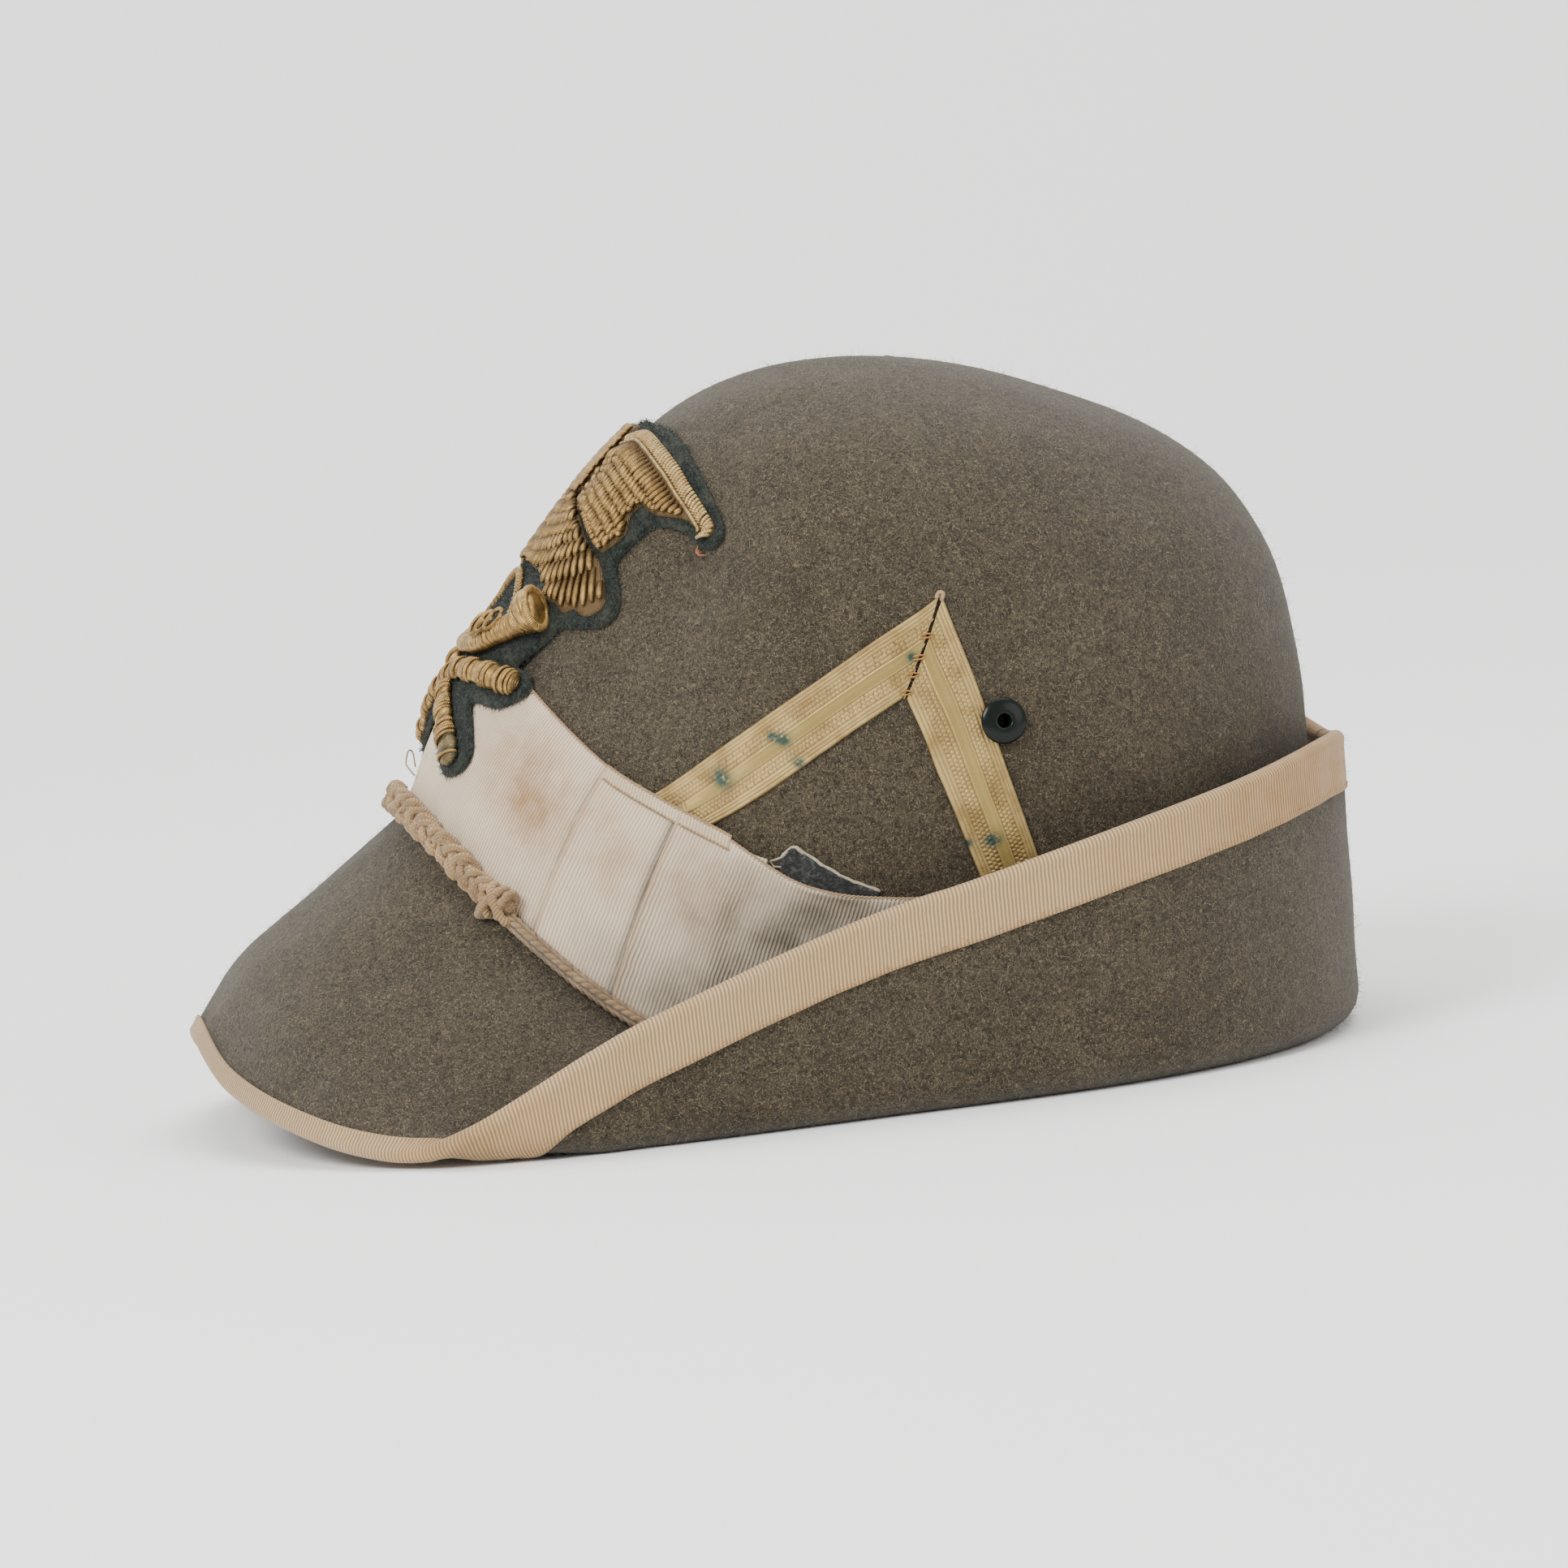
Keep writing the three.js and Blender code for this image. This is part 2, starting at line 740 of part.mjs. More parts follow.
// How far a section of the crown lies up from the head line, at one angle.
function upAt(round, v) {
  const pieces = 24;
  let walked = 0;
  let here = crownPoint(round, 0);
  for (let k = 1; k <= pieces; k += 1) {
    const next = crownPoint(round, (v * k) / pieces);
    walked += next.distanceTo(here);
    here = next;
  }
  return walked;
}

// The crown and the brim: one felt with an outer and an inner face that meet at the edge.
function feltGeometry() {
  const outer = [];
  const inner = [];
  const ringPlaces = (index) => {
    const crown = CROWN_RINGS.length;
    if (index < crown) return () => CROWN_RINGS[crown - 1 - index];
    if (index === crown) return () => 0;
    return (round) => -brimRings(round)[index - crown - 1];
  };
  const rings = CROWN_RINGS.length + 1 + brimRings(0).length;
  for (let index = 0; index < rings; index += 1) {
    const placeOf = ringPlaces(index);
    const outerRing = [];
    const innerRing = [];
    for (const round of STATIONS) {
      const place = placeOf(round);
      outerRing.push(feltPoint(round, place));
      const under = offFelt(round, place, -FELT);
      if (under.z < FLAT_FOOT) under.z = 0;
      innerRing.push(under);
    }
    outer.push(outerRing);
    inner.push(innerRing);
  }
  const top = crownPoint(0, TOP);
  const topInside = top.clone();
  topInside.z -= FELT;
  const count = STATIONS.length;
  const points = [...outer, ...inner].flat();
  const within = rings * count;
  const faces = bandBetween(within - count, 2 * within - count, count, onLeft);
  for (let i = 0; i < rings - 1; i += 1) {
    const quads = bandBetween(i * count, (i + 1) * count, count, onLeft);
    faces.push(...quads, ...quads.map(([a, b, c]) => [within + a, within + c, within + b]));
  }
  points.push(top, topInside);
  for (let j = 0; j < count; j += 1) {
    const k = (j + 1) % count;
    faces.push([2 * within, j, k], [2 * within + 1, within + k, within + j]);
  }
  return geometryOf(points, faces);
}

const wasm = await Module();
wasm.setup();

function solidOf(geometry) {
  const bare = geometry.clone();
  for (const name of Object.keys(bare.attributes)) if (name !== "position") bare.deleteAttribute(name);
  const merged = mergeVertices(bare, 1e-4);
  return new wasm.Manifold(
    new wasm.Mesh({
      numProp: 3,
      vertProperties: new Float32Array(merged.getAttribute("position").array),
      triVerts: new Uint32Array(merged.getIndex().array),
    }),
  );
}

function geometryFrom(solid) {
  const mesh = solid.getMesh();
  const geometry = new THREE.BufferGeometry();
  geometry.setAttribute("position", new THREE.BufferAttribute(new Float32Array(mesh.vertProperties), 3));
  geometry.setIndex(new THREE.BufferAttribute(new Uint32Array(mesh.triVerts), 1));
  geometry.computeVertexNormals();
  return geometry;
}

// Where a vent sits: its middle on the felt and the way that it faces.
function ventPlace(side) {
  const round = side * VENT.round;
  const v = sectionAt(VENT.round, VENT.up);
  const facing = new THREE.Quaternion();
  facing.setFromUnitVectors(new THREE.Vector3(0, 0, 1), feltNormal(round, v));
  return new THREE.Matrix4().compose(feltPoint(round, v), facing, new THREE.Vector3(1, 1, 1));
}

function feltWithVentHoles() {
  let solid = solidOf(feltGeometry());
  for (const side of [1, -1]) {
    const drill = new THREE.CylinderGeometry(VENT.felt_hole, VENT.felt_hole, 6 * FELT, 12);
    drill.rotateX(Math.PI / 2);
    drill.applyMatrix4(ventPlace(side));
    solid = solid.subtract(solidOf(drill));
  }
  return geometryFrom(solid);
}

// A vent: a domed rim with a hole, a barrel through the felt and a rim on its inside.
function ventGeometry(side) {
  const under = side > 0 ? 2 * GAP + LACE + 0.2 : GAP;
  const inside = -FELT - 2 * GAP;
  const profile = [
    [VENT.hole, inside - 0.7],
    [VENT.rim, inside - 0.7],
    [VENT.rim, inside],
    [VENT.barrel, inside],
    [VENT.barrel, under - 0.1],
    [VENT.neck, under - 0.1],
    [VENT.neck, under],
    [VENT.radius, under],
    [VENT.radius - 0.5, under + 0.9],
    [VENT.hole + 1.4, under + 1.7],
    [VENT.hole, under + 1.1],
    [VENT.hole, inside - 0.7],
  ];
  const lathe = new THREE.LatheGeometry(profile.map(([r, z]) => new THREE.Vector2(r, z)), 12);
  lathe.rotateX(Math.PI / 2);
  lathe.applyMatrix4(ventPlace(side));
  return geometryFrom(solidOf(lathe));
}

// The ribbon folded over the edge: wide on the brim's lower face, narrow on the upper face.
function bindingGeometry() {
  const sections = STATIONS.map((round) => {
    const { length } = brimProfile(round);
    const corner = 1 - Math.min(Math.abs(fromFront(round) - PEAK_CORNER.round) / PEAK_CORNER.spread, 1);
    const near = GAP + PEAK_CORNER.slack * corner;
    const far = near + BINDING.thick;
    const at = (fromEdge, off) => offFelt(round, fromEdge - length, off);
    const beyond = feltPoint(round, -length).sub(feltPoint(round, 2 - length)).normalize();
    const past = (off, out) => at(0, off).addScaledVector(beyond, out);
    const steps = [BINDING.under, (2 * BINDING.under) / 3, BINDING.under / 3];
    return [
      ...steps.map((fromEdge) => at(fromEdge, -FELT - near)),
      past(-FELT - near, near),
      past(near, near),
      at(BINDING.top, near),
      at(BINDING.top, far),
      past(far, 0.5 * far),
      past(-FELT / 2, 1.2 * far),
      past(-FELT - far, 0.5 * far),
      ...steps.reverse().map((fromEdge) => at(fromEdge, -FELT - far)),
    ].map((point) => point.setZ(Math.max(point.z, 0)));
  });
  return sweptBody(sections, true, (j) => j === 4 || j >= 9);
}

// How far the band stands off the crown where the leather tab is behind it.
function standOff(round, up) {
  const middle = (TAB.from + TAB.to) / 2;
  const reach = (TAB.to - TAB.from) / 2;
  const angle = round > 180 ? round - 360 : round;
  const beside = (Math.abs(angle - middle) - reach) / 7;
  const sideways = 1 - THREE.MathUtils.smoothstep(beside, 0, 1);
  return (TAB.thick + GAP) * sideways * THREE.MathUtils.smoothstep(up, 6, 19);
}

function bandGeometry() {
  const parts = [0, 1 / 3, 2 / 3, 1];
  const sections = STATIONS.map((round) => {
    const top = around(BAND_TOP, round).up;
    const at = (part, off) => {
      const up = BAND_FOOT + (top - BAND_FOOT) * part;
      return offFelt(round, sectionAt(round, up), ROUND_GAP + standOff(round, up) + off);
    };
    return [...parts.map((part) => at(part, 0)), ...parts.toReversed().map((part) => at(part, RIBBON))];
  });
  return sweptBody(sections, true, (j) => j < parts.length - 1);
}

// The cord lies in the corner between the band and the brim: its middle, at one angle.
function cordMiddle(round, deep) {
  const off = ROUND_GAP + RIBBON + GAP + deep;
  const head = feltNormal(round, 0.02);
  const base = feltPoint(round, 0).addScaledVector(head, off);
  const upward = crownPoint(round, 0.3).sub(crownPoint(round, 0)).normalize();
  const clear = deep + GAP;
  let up = 5;
  while (up > -4) {
    const here = base.clone().addScaledVector(upward, up - 0.1);
    if (distanceToBrim(round, here) < clear) break;
    up -= 0.1;
  }
  return { middle: base.addScaledVector(upward, up), upward, outward: head };
}

// How far a point stands off the brim's upper face.
function distanceToBrim(round, point) {
  let nearest = Infinity;
  for (let s = 1; s < 14; s += 1) {
    const away = point.clone().sub(brimPoint(round, s));
    nearest = Math.min(nearest, away.dot(feltNormal(round, -s)));
  }
  return nearest;
}

function ringSection(middle, outwardWay, upward, deep, wide, sides) {
  const ring = [];
  for (let k = 0; k < sides; k += 1) {
    const angle = (2 * Math.PI * (k + 0.5)) / sides;
    const point = middle.clone().addScaledVector(outwardWay, deep * Math.cos(angle));
    ring.push(point.addScaledVector(upward, wide * Math.sin(angle)));
  }
  return ring;
}

// The thin cord from one knot round the back to the other.
function cordGeometry() {
  const start = PLAIT.ends + 7.2;
  const steps = STATIONS.filter((round) => round > start + 2 && round < 360 - start - 2);
  const sections = [start, ...steps, 360 - start].map((round) => {
    const { middle, upward, outward: out } = cordMiddle(round, CORD.radius);
    return ringSection(middle, out, upward, CORD.radius, CORD.radius, CORD.sides);
  });
  return sweptBody(sections, false);
}

// The thick plait across the front.
function plaitGeometry() {
  const sections = [];
  for (let k = 0; k <= PLAIT.steps; k += 1) {
    const round = PLAIT.ends * ((2 * k) / PLAIT.steps - 1);
    const { middle, upward, outward: out } = cordMiddle(round, PLAIT.deep);
    sections.push(ringSection(middle, out, upward, PLAIT.deep, PLAIT.wide, 8));
  }
  return sweptBody(sections, false);
}

// The knot at an end of the plait.
function knotGeometry(side) {
  const round = side * (PLAIT.ends + 3.6);
  const { middle, upward, outward: out } = cordMiddle(round, KNOT.deep + GAP);
  const alongCord = upward.clone().cross(out).normalize();
  const turned = new THREE.Matrix4().makeBasis(alongCord, out, alongCord.clone().cross(out));
  const ball = new THREE.SphereGeometry(1, 9, 6);
  ball.scale(KNOT.along * 0.62, KNOT.deep, KNOT.wide);
  ball.applyMatrix4(turned);
  ball.translate(middle.x, middle.y, middle.z);
  return geometryFrom(solidOf(ball));
}

// A padded bar on the badge, round in section, along points with a radius each.
function barGeometry(points, base, sides) {
  const place = onBadge(base);
  const middles = points.map(([across, up, radius]) => place(new THREE.Vector2(across, up), radius));
  const sections = points.map(([across, up, radius], i) => {
    const before = middles[Math.max(i - 1, 0)];
    const after = middles[Math.min(i + 1, middles.length - 1)];
    const alongBar = after.clone().sub(before).normalize();
    const under = place(new THREE.Vector2(across, up), 0);
    const out = middles[i].clone().sub(under).normalize();
    const sideways = alongBar.clone().cross(out).normalize();
    const trueOut = sideways.clone().cross(alongBar);
    return ringSection(middles[i], trueOut, sideways, radius, radius, sides);
  });
  return sweptBody(sections, false);
}

function mirrored(outline) {
  return outline.map(([across, ...rest]) => [-across, ...rest]).reverse();
}
function bothSides(outline) {
  return [...outline, ...mirrored(outline.slice(1, -1))];
}

const hat = new THREE.Group();
hat.position.x = -BOX_MIDDLE_X;
function add(name, geometry, finish) {
  const mesh = new THREE.Mesh(geometry, new THREE.MeshStandardMaterial(finish));
  mesh.name = name;
  hat.add(mesh);
}

const onThread = CLOTH + ROUND_GAP;
add("felt_body", feltWithVentHoles(), FELT_GREY_GREEN);
add("brim_binding", bindingGeometry(), RIBBON_TAN);
add("hat_band", bandGeometry(), BAND_SILK);
add("band_pleat_front", laidPiece(PLEAT_FRONT, PLEAT.thick, byAngle((round, up) => {
  return 2 * ROUND_GAP + RIBBON + standOff(round, up);
})), BAND_SILK);
add("band_pleat_back", laidPiece(PLEAT_BACK, PLEAT.thick, byAngle((round, up) => {
  return 2 * ROUND_GAP + RIBBON + GAP + PLEAT.thick + standOff(round, up);
})), BAND_SILK);
add("cord", cordGeometry(), CORD_TAN);
add("cord_plait", plaitGeometry(), CORD_TAN);
add("cord_knot_left", knotGeometry(1), CORD_TAN);
add("cord_knot_right", knotGeometry(-1), CORD_TAN);
add("badge_cloth", laidPiece(bothSides(CLOTH_OUTLINE), CLOTH, onBadge(0), 2.4 * CHORD), GREEN_CLOTH);
add("eagle_wing_left", laidPiece(WING_OUTLINE, PADDING, onBadge(onThread)), GOLD_THREAD);
add("eagle_wing_right", laidPiece(mirrored(WING_OUTLINE), PADDING, onBadge(onThread)), GOLD_THREAD);
add("eagle_tail", laidPiece(bothSides(TAIL_OUTLINE), PADDING, onBadge(onThread)), GOLD_THREAD);
add("eagle_body", laidPiece(BODY_OUTLINE, PADDING + 0.8, onBadge(onThread)), GOLD_THREAD);
add("horn", barGeometry(HORN, onThread, 8), GOLD_THREAD);
add("horn_sling", barGeometry(HORN_SLING, onThread, 6), GOLD_THREAD);
add("barrel_over", barGeometry(BARREL_OVER, onThread, 8), GOLD_THREAD);
add("barrel_left", barGeometry(BARREL_LEFT, onThread, 8), GOLD_THREAD);
add("barrel_right", barGeometry(BARREL_RIGHT, onThread, 8), GOLD_THREAD);
add("lace_front", laidPiece(LACE_FRONT, LACE, byAngle(() => GAP)), GOLD_LACE);
add("lace_back", laidPiece(LACE_BACK, LACE, byAngle(() => GAP)), GOLD_LACE);
add("feather_tab", laidPiece(TAB_OUTLINE, TAB.thick, byAngle(() => GAP)), DARK_LEATHER);
add("vent_left", ventGeometry(1), GREEN_PAINT);
add("vent_right", ventGeometry(-1), GREEN_PAINT);

export default hat;
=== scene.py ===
# Looks for a mountain soldier's felt hat: felt, ribbons, braided cord, gold badge and lace.
import math

import bmesh
import bpy
import numpy as np
from mathutils import Matrix, Vector
from mathutils.geometry import delaunay_2d_cdt


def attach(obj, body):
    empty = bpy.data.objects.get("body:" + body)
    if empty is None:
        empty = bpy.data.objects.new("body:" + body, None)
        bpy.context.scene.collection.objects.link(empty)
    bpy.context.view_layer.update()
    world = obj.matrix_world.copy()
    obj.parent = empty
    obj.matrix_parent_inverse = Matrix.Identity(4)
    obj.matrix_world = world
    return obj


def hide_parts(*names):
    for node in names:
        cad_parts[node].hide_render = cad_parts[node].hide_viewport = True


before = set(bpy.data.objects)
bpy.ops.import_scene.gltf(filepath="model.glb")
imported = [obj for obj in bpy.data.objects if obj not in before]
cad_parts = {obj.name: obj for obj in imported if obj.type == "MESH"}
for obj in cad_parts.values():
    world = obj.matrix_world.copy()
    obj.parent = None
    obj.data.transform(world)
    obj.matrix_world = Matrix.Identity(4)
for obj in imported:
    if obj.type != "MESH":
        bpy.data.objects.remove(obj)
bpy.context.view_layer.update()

bl_info = {
    "name": "Mountain hat",
    "version": (1, 0, 0),
    "blender": (4, 5, 0),
    "location": "View3D > Sidebar > Hat",
    "description": "Builds the fine surface of a felt mountain hat on its packed frame",
    "category": "Object",
}

# The hat's form, in millimetres.
# x runs from the front (-) to the back (+), the wearer's left is -y, z is the height over the
# table. Angles are degrees round the head line, from the front toward the wearer's left.
MM = 0.001
FELT = 2.5
HEAD_BEND = 5.0
FOLD_BEND = 5.5
BOX_MIDDLE_X = -0.8
RIBBON = 0.7
BAND_FOOT = 0.6

# frontX, frontZ, backX, backZ, wideX, half, sideZ, bend, square
CROWN = np.array([
    [-81, 75.5, 123.5, 10, 26, 82, 9, 2.4, 2.25],
    [-76.5, 85, 126.5, 27, 27, 82.2, 29, 2.2, 2.25],
    [-71, 94.5, 129, 46, 28, 82, 48.5, 2, 2.2],
    [-63, 106, 130.5, 65, 30, 81, 67, 1.8, 2.15],
    [-54, 118, 130.5, 84.5, 32, 79, 86, 1.6, 2.1],
    [-44, 130, 128.5, 102, 34, 75.5, 104, 1.4, 2.05],
    [-33.5, 141.5, 124, 117.5, 36, 70, 120, 1.2, 2],
    [-23, 151, 115.5, 130.5, 37, 62.5, 134.5, 1, 2],
    [-11, 159, 102.5, 142.3, 38, 52.5, 147, 1, 2],
    [3.5, 164.5, 84.5, 151.8, 39, 39, 156.5, 1, 2],
    [20, 167, 63, 160.2, 40, 22, 163, 1, 2],
    [40, 166.3, 40, 166.3, 40, 0, 166.3, 1, 2],
], float)
TOP = len(CROWN) - 1
PINCH = {"round": 40, "spread": 16, "row": 5, "rows": 2.1, "deep": 6.5}

# round, foldOut, foldZ, edgeOut, edgeZ
BRIM = np.array([
    [0, 46, 41, 58, 25],
    [12, 46, 36, 58, 16.5],
    [24, 47, 24, 57.5, 9.5],
    [32, 49, 14, 56.5, 5.6],
    [38, 49.5, 7, 54.5, 4.6],
    [44, 47, 3.9, 51.5, 8.2],
    [49, 42.6, 3.7, 47, 14.2],
    [55, 36.6, 2.2, 41, 22],
    [60, 31, 2.2, 35, 27.5],
    [75, 20, 2.2, 22, 39.5],
    [90, 14, 2.2, 16, 49],
    [110, 13, 2.2, 14.5, 58],
    [130, 13, 2.2, 13.5, 64],
    [150, 12, 2.2, 13, 68],
    [165, 11, 2.2, 12, 67.5],
    [180, 10.5, 2.2, 11.5, 65],
], float)
FOLD_STARTS = (38.0, 46.0)

# round, up
BAND_TOP = np.array([
    [0, 39], [24, 41], [42, 43.5], [53, 46.5], [63, 47.5],
    [75, 43.6], [90, 38.5], [110, 37], [145, 38], [180, 40],
], float)
TAB_BULGE = {"from": 64, "to": 88, "off": 1.7}


def from_front(rounds):
    """The angle from the front, 0 to 180, alike on both sides."""
    return np.abs((np.asarray(rounds, float) + 180) % 360 - 180)


def crown_row(v):
    """The crown table's values at sections v, smooth through the top."""
    below = 2 * CROWN[0] - CROWN[1]
    beyond = CROWN[-2].copy()
    beyond[[0, 1, 2, 3]] = CROWN[-2][[2, 3, 0, 1]]
    beyond[5] = -CROWN[-2][5]
    rows = np.vstack([below, CROWN, beyond])
    at = np.clip(np.asarray(v, float), 0, TOP)
    i = np.minimum(at.astype(int), TOP - 1)
    t = (at - i)[..., None]
    a, b, c, d = (rows[i + k] for k in range(4))
    return 0.5 * (2 * b + (c - a) * t + (2 * a - 5 * b + 4 * c - d) * t**2
                  + (3 * b - a - 3 * c + d) * t**3)


def crown_point(rounds, v):
    """Points of the crown's outer face."""
    rounds, v = np.broadcast_arrays(np.asarray(rounds, float), np.asarray(v, float))
    row = crown_row(v)
    front_x, front_z, back_x, back_z, wide_x, half_y, side_z, bend, square = np.moveaxis(row, -1, 0)
    c, s = np.cos(np.radians(rounds)), np.sin(np.radians(rounds))
    lean = (front_z - back_z) / 2
    sag = (front_z + back_z) / 2 - side_z
    z = (side_z + lean * np.sign(c) * np.abs(c) ** bend
         + sag * np.abs(c) ** (2 + 0.4 * (bend - 1) / 1.4))
    half_x = np.where(c > 0, wide_x - front_x, back_x - wide_x)
    x = wide_x - half_x * np.sign(c) * np.abs(c) ** (2 / square)
    y = -half_y * np.sign(s) * np.abs(s) ** (2 / square)
    dent = PINCH["deep"] * np.exp(
        -((from_front(rounds) - PINCH["round"]) / PINCH["spread"]) ** 2
        - ((v - PINCH["row"]) / PINCH["rows"]) ** 2)
    reach = np.hypot(x - wide_x, y) + 1e-9
    return np.stack([x - dent * (x - wide_x) / reach, y - dent * y / reach, z], -1)


def around(table, rounds):
    """A table's values between its stations, smooth all the way round."""
    at = from_front(rounds)
    n = len(table)
    first, last = table[1].copy(), table[-2].copy()
    first[0], last[0] = -first[0], 360 - last[0]
    rows = np.vstack([first, table, last])
    i = np.clip(np.searchsorted(table[:, 0], at, side="right") - 1, 0, n - 2)
    a, b, c, d = (rows[i + k] for k in range(4))
    span = (c - b)[..., :1]
    t = ((at - b[..., 0])[..., None]) / span
    leaving = (c - a) / (c - a)[..., :1] * span
    reaching = (d - b) / (d - b)[..., :1] * span
    return ((2 * t**3 - 3 * t**2 + 1) * b + (t**3 - 2 * t**2 + t) * leaving
            + (3 * t**2 - 2 * t**3) * c + (t**3 - t**2) * reaching)


def outward(rounds):
    """The level direction that the brim runs out in."""
    c, s = np.cos(np.radians(rounds)), np.sin(np.radians(rounds))
    front_x, _, back_x, _, wide_x, half_y = CROWN[0][:6]
    half_x = np.where(c > 0, wide_x - front_x, back_x - wide_x)
    out = np.stack([-c / half_x, -s / half_y, np.zeros_like(c)], -1)
    return out / np.linalg.norm(out, axis=-1, keepdims=True)


def rounded_corner(before, corner, after, radius):
    """Points on the arc that takes a corner's place."""
    u, w = before - corner, after - corner
    room = 0.85 * min(np.linalg.norm(u), np.linalg.norm(w))
    u, w = u / np.linalg.norm(u), w / np.linalg.norm(w)
    inside = math.acos(np.clip(u @ w, -1, 1))
    turn = math.pi - inside
    if turn < 0.02:
        return [corner]
    cut = min(radius * math.tan(turn / 2), room)
    bend = cut / math.tan(turn / 2)
    middle = corner + (u + w) / np.linalg.norm(u + w) * bend / math.sin(inside / 2)
    start, end = corner + u * cut - middle, corner + w * cut - middle
    from_angle = math.atan2(start[1], start[0])
    sweep = (math.atan2(end[1], end[0]) - from_angle + math.pi) % (2 * math.pi) - math.pi
    turns = [from_angle + sweep * k / 10 for k in range(11)]
    return [middle + bend * np.array([math.cos(a), math.sin(a)]) for a in turns]


BRIM_PARTS = 120


def brim_table():
    """Evenly spaced points of the brim's upper face for each degree, and their whole lengths."""
    points, lengths, folds = [], [], []
    for degree in range(181):
        _, fold_out, fold_z, edge_out, edge_z = around(BRIM, float(degree))
        head = crown_point(degree, 0.0)
        above = crown_point(degree, 0.35) - head
        rise = np.array([above @ outward(degree), above[2]])
        rise /= np.linalg.norm(rise)
        start = np.array([0.0, head[2]])
        foot = start - rise * 0.8 * HEAD_BEND
        edge = np.array([edge_out, edge_z])
        t = np.clip((degree - FOLD_STARTS[0]) / (FOLD_STARTS[1] - FOLD_STARTS[0]), 0, 1)
        folded = t * t * (3 - 2 * t)
        fold = np.array([fold_out, fold_z])
        for _ in range(4):
            first = rounded_corner(start, foot, fold, HEAD_BEND)
            second = rounded_corner(first[-1], fold, edge, FOLD_BEND + 40 * (1 - folded))
            fold = fold + np.array([0, folded * (fold_z - min(p[1] for p in second))])
        line = np.array([start, *first, *second, edge])
        along = np.r_[0, np.cumsum(np.linalg.norm(np.diff(line, axis=0), axis=1))]
        spaced = np.linspace(0, along[-1], BRIM_PARTS + 1)
        points.append(np.stack([np.interp(spaced, along, line[:, k]) for k in (0, 1)], -1))
        lengths.append(along[-1])
        folds.append(along[1 + len(first) + len(second) // 2])
    return np.array(points), np.array(lengths), np.array(folds)


BRIM_POINTS, BRIM_LENGTHS, BRIM_FOLDS = brim_table()


def brim_length(rounds):
    """How far the felt reaches from the head line to the edge."""
    return np.interp(from_front(rounds), np.arange(181), BRIM_LENGTHS)


def brim_point(rounds, distance):
    """Points of the brim's upper face, so many millimetres out from the head line."""
    rounds, distance = np.broadcast_arrays(np.asarray(rounds, float), np.asarray(distance, float))
    at = from_front(rounds)
    i = np.minimum(at.astype(int), 179)
    t = (at - i)[..., None]
    part = np.clip(distance / brim_length(rounds), 0, 1) * BRIM_PARTS
    k = np.minimum(part.astype(int), BRIM_PARTS - 1)
    w = (part - k)[..., None]
    lower = BRIM_POINTS[i, k] * (1 - w) + BRIM_POINTS[i, k + 1] * w
    upper = BRIM_POINTS[i + 1, k] * (1 - w) + BRIM_POINTS[i + 1, k + 1] * w
    profile = lower * (1 - t) + upper * t
    point = crown_point(rounds, np.zeros_like(rounds)) + outward(rounds) * profile[..., :1]
    point[..., 2] = np.maximum(profile[..., 1], FELT)
    return point


def felt_point(rounds, place):
    """The felt's face: place >= 0 is a section of the crown, < 0 is millimetres out on the brim."""
    rounds, place = np.broadcast_arrays(np.asarray(rounds, float), np.asarray(place, float))
    on_crown = crown_point(rounds, np.maximum(place, 0))
    on_brim = brim_point(rounds, np.maximum(-place, 0))
    return np.where((place >= 0)[..., None], on_crown, on_brim)


def felt_normal(rounds, place):
    """The felt's outward direction there, away from the head."""
    rounds, place = np.broadcast_arrays(np.asarray(rounds, float), np.asarray(place, float))
    higher = np.where(place >= 0, np.minimum(place + 0.05, TOP), place + 1)
    lower = np.where(place > 0.05, place - 0.05, np.where(place > 0, -0.5, place - 1))
    along_rim = felt_point(rounds + 0.6, place) - felt_point(rounds - 0.6, place)
    up_crown = felt_point(rounds, higher) - felt_point(rounds, lower)
    normal = np.cross(along_rim, up_crown)
    return normal / (np.linalg.norm(normal, axis=-1, keepdims=True) + 1e-12)


def off_felt(rounds, place, off):
    """The felt's face moved off by a distance."""
    off = np.asarray(off, float)[..., None]
    return felt_point(rounds, place) + felt_normal(rounds, place) * off


# How far up from the head line each section lies, by degree, and how far round, by section.
SECTIONS = np.linspace(0, TOP, 221)
DEGREES = np.arange(0, 181)
CROWN_GRID = crown_point(DEGREES[:, None], SECTIONS[None, :])
UP_BY_DEGREE = np.concatenate(
    [np.zeros((181, 1)), np.cumsum(np.linalg.norm(np.diff(CROWN_GRID, axis=1), axis=2), axis=1)], 1)
ACROSS_BY_SECTION = np.concatenate(
    [np.zeros((1, 221)), np.cumsum(np.linalg.norm(np.diff(CROWN_GRID, axis=0), axis=2), axis=0)], 0)


def section_at(rounds, up):
    """The section of the crown that lies so many millimetres up from the head line."""
    rounds, up = np.broadcast_arrays(np.asarray(rounds, float), np.asarray(up, float))
    at = from_front(rounds)
    low = np.minimum(at.astype(int), 179)
    t = at - low
    out = np.empty(at.shape)
    for index in np.ndindex(at.shape):
        k = low[index]
        a = np.interp(up[index], UP_BY_DEGREE[k], SECTIONS)
        b = np.interp(up[index], UP_BY_DEGREE[k + 1], SECTIONS)
        out[index] = a * (1 - t[index]) + b * t[index]
    return out


def on_crown(rounds, up, off):
    """A point so far up the crown at an angle, and so far off the felt."""
    return off_felt(rounds, section_at(rounds, up), off)


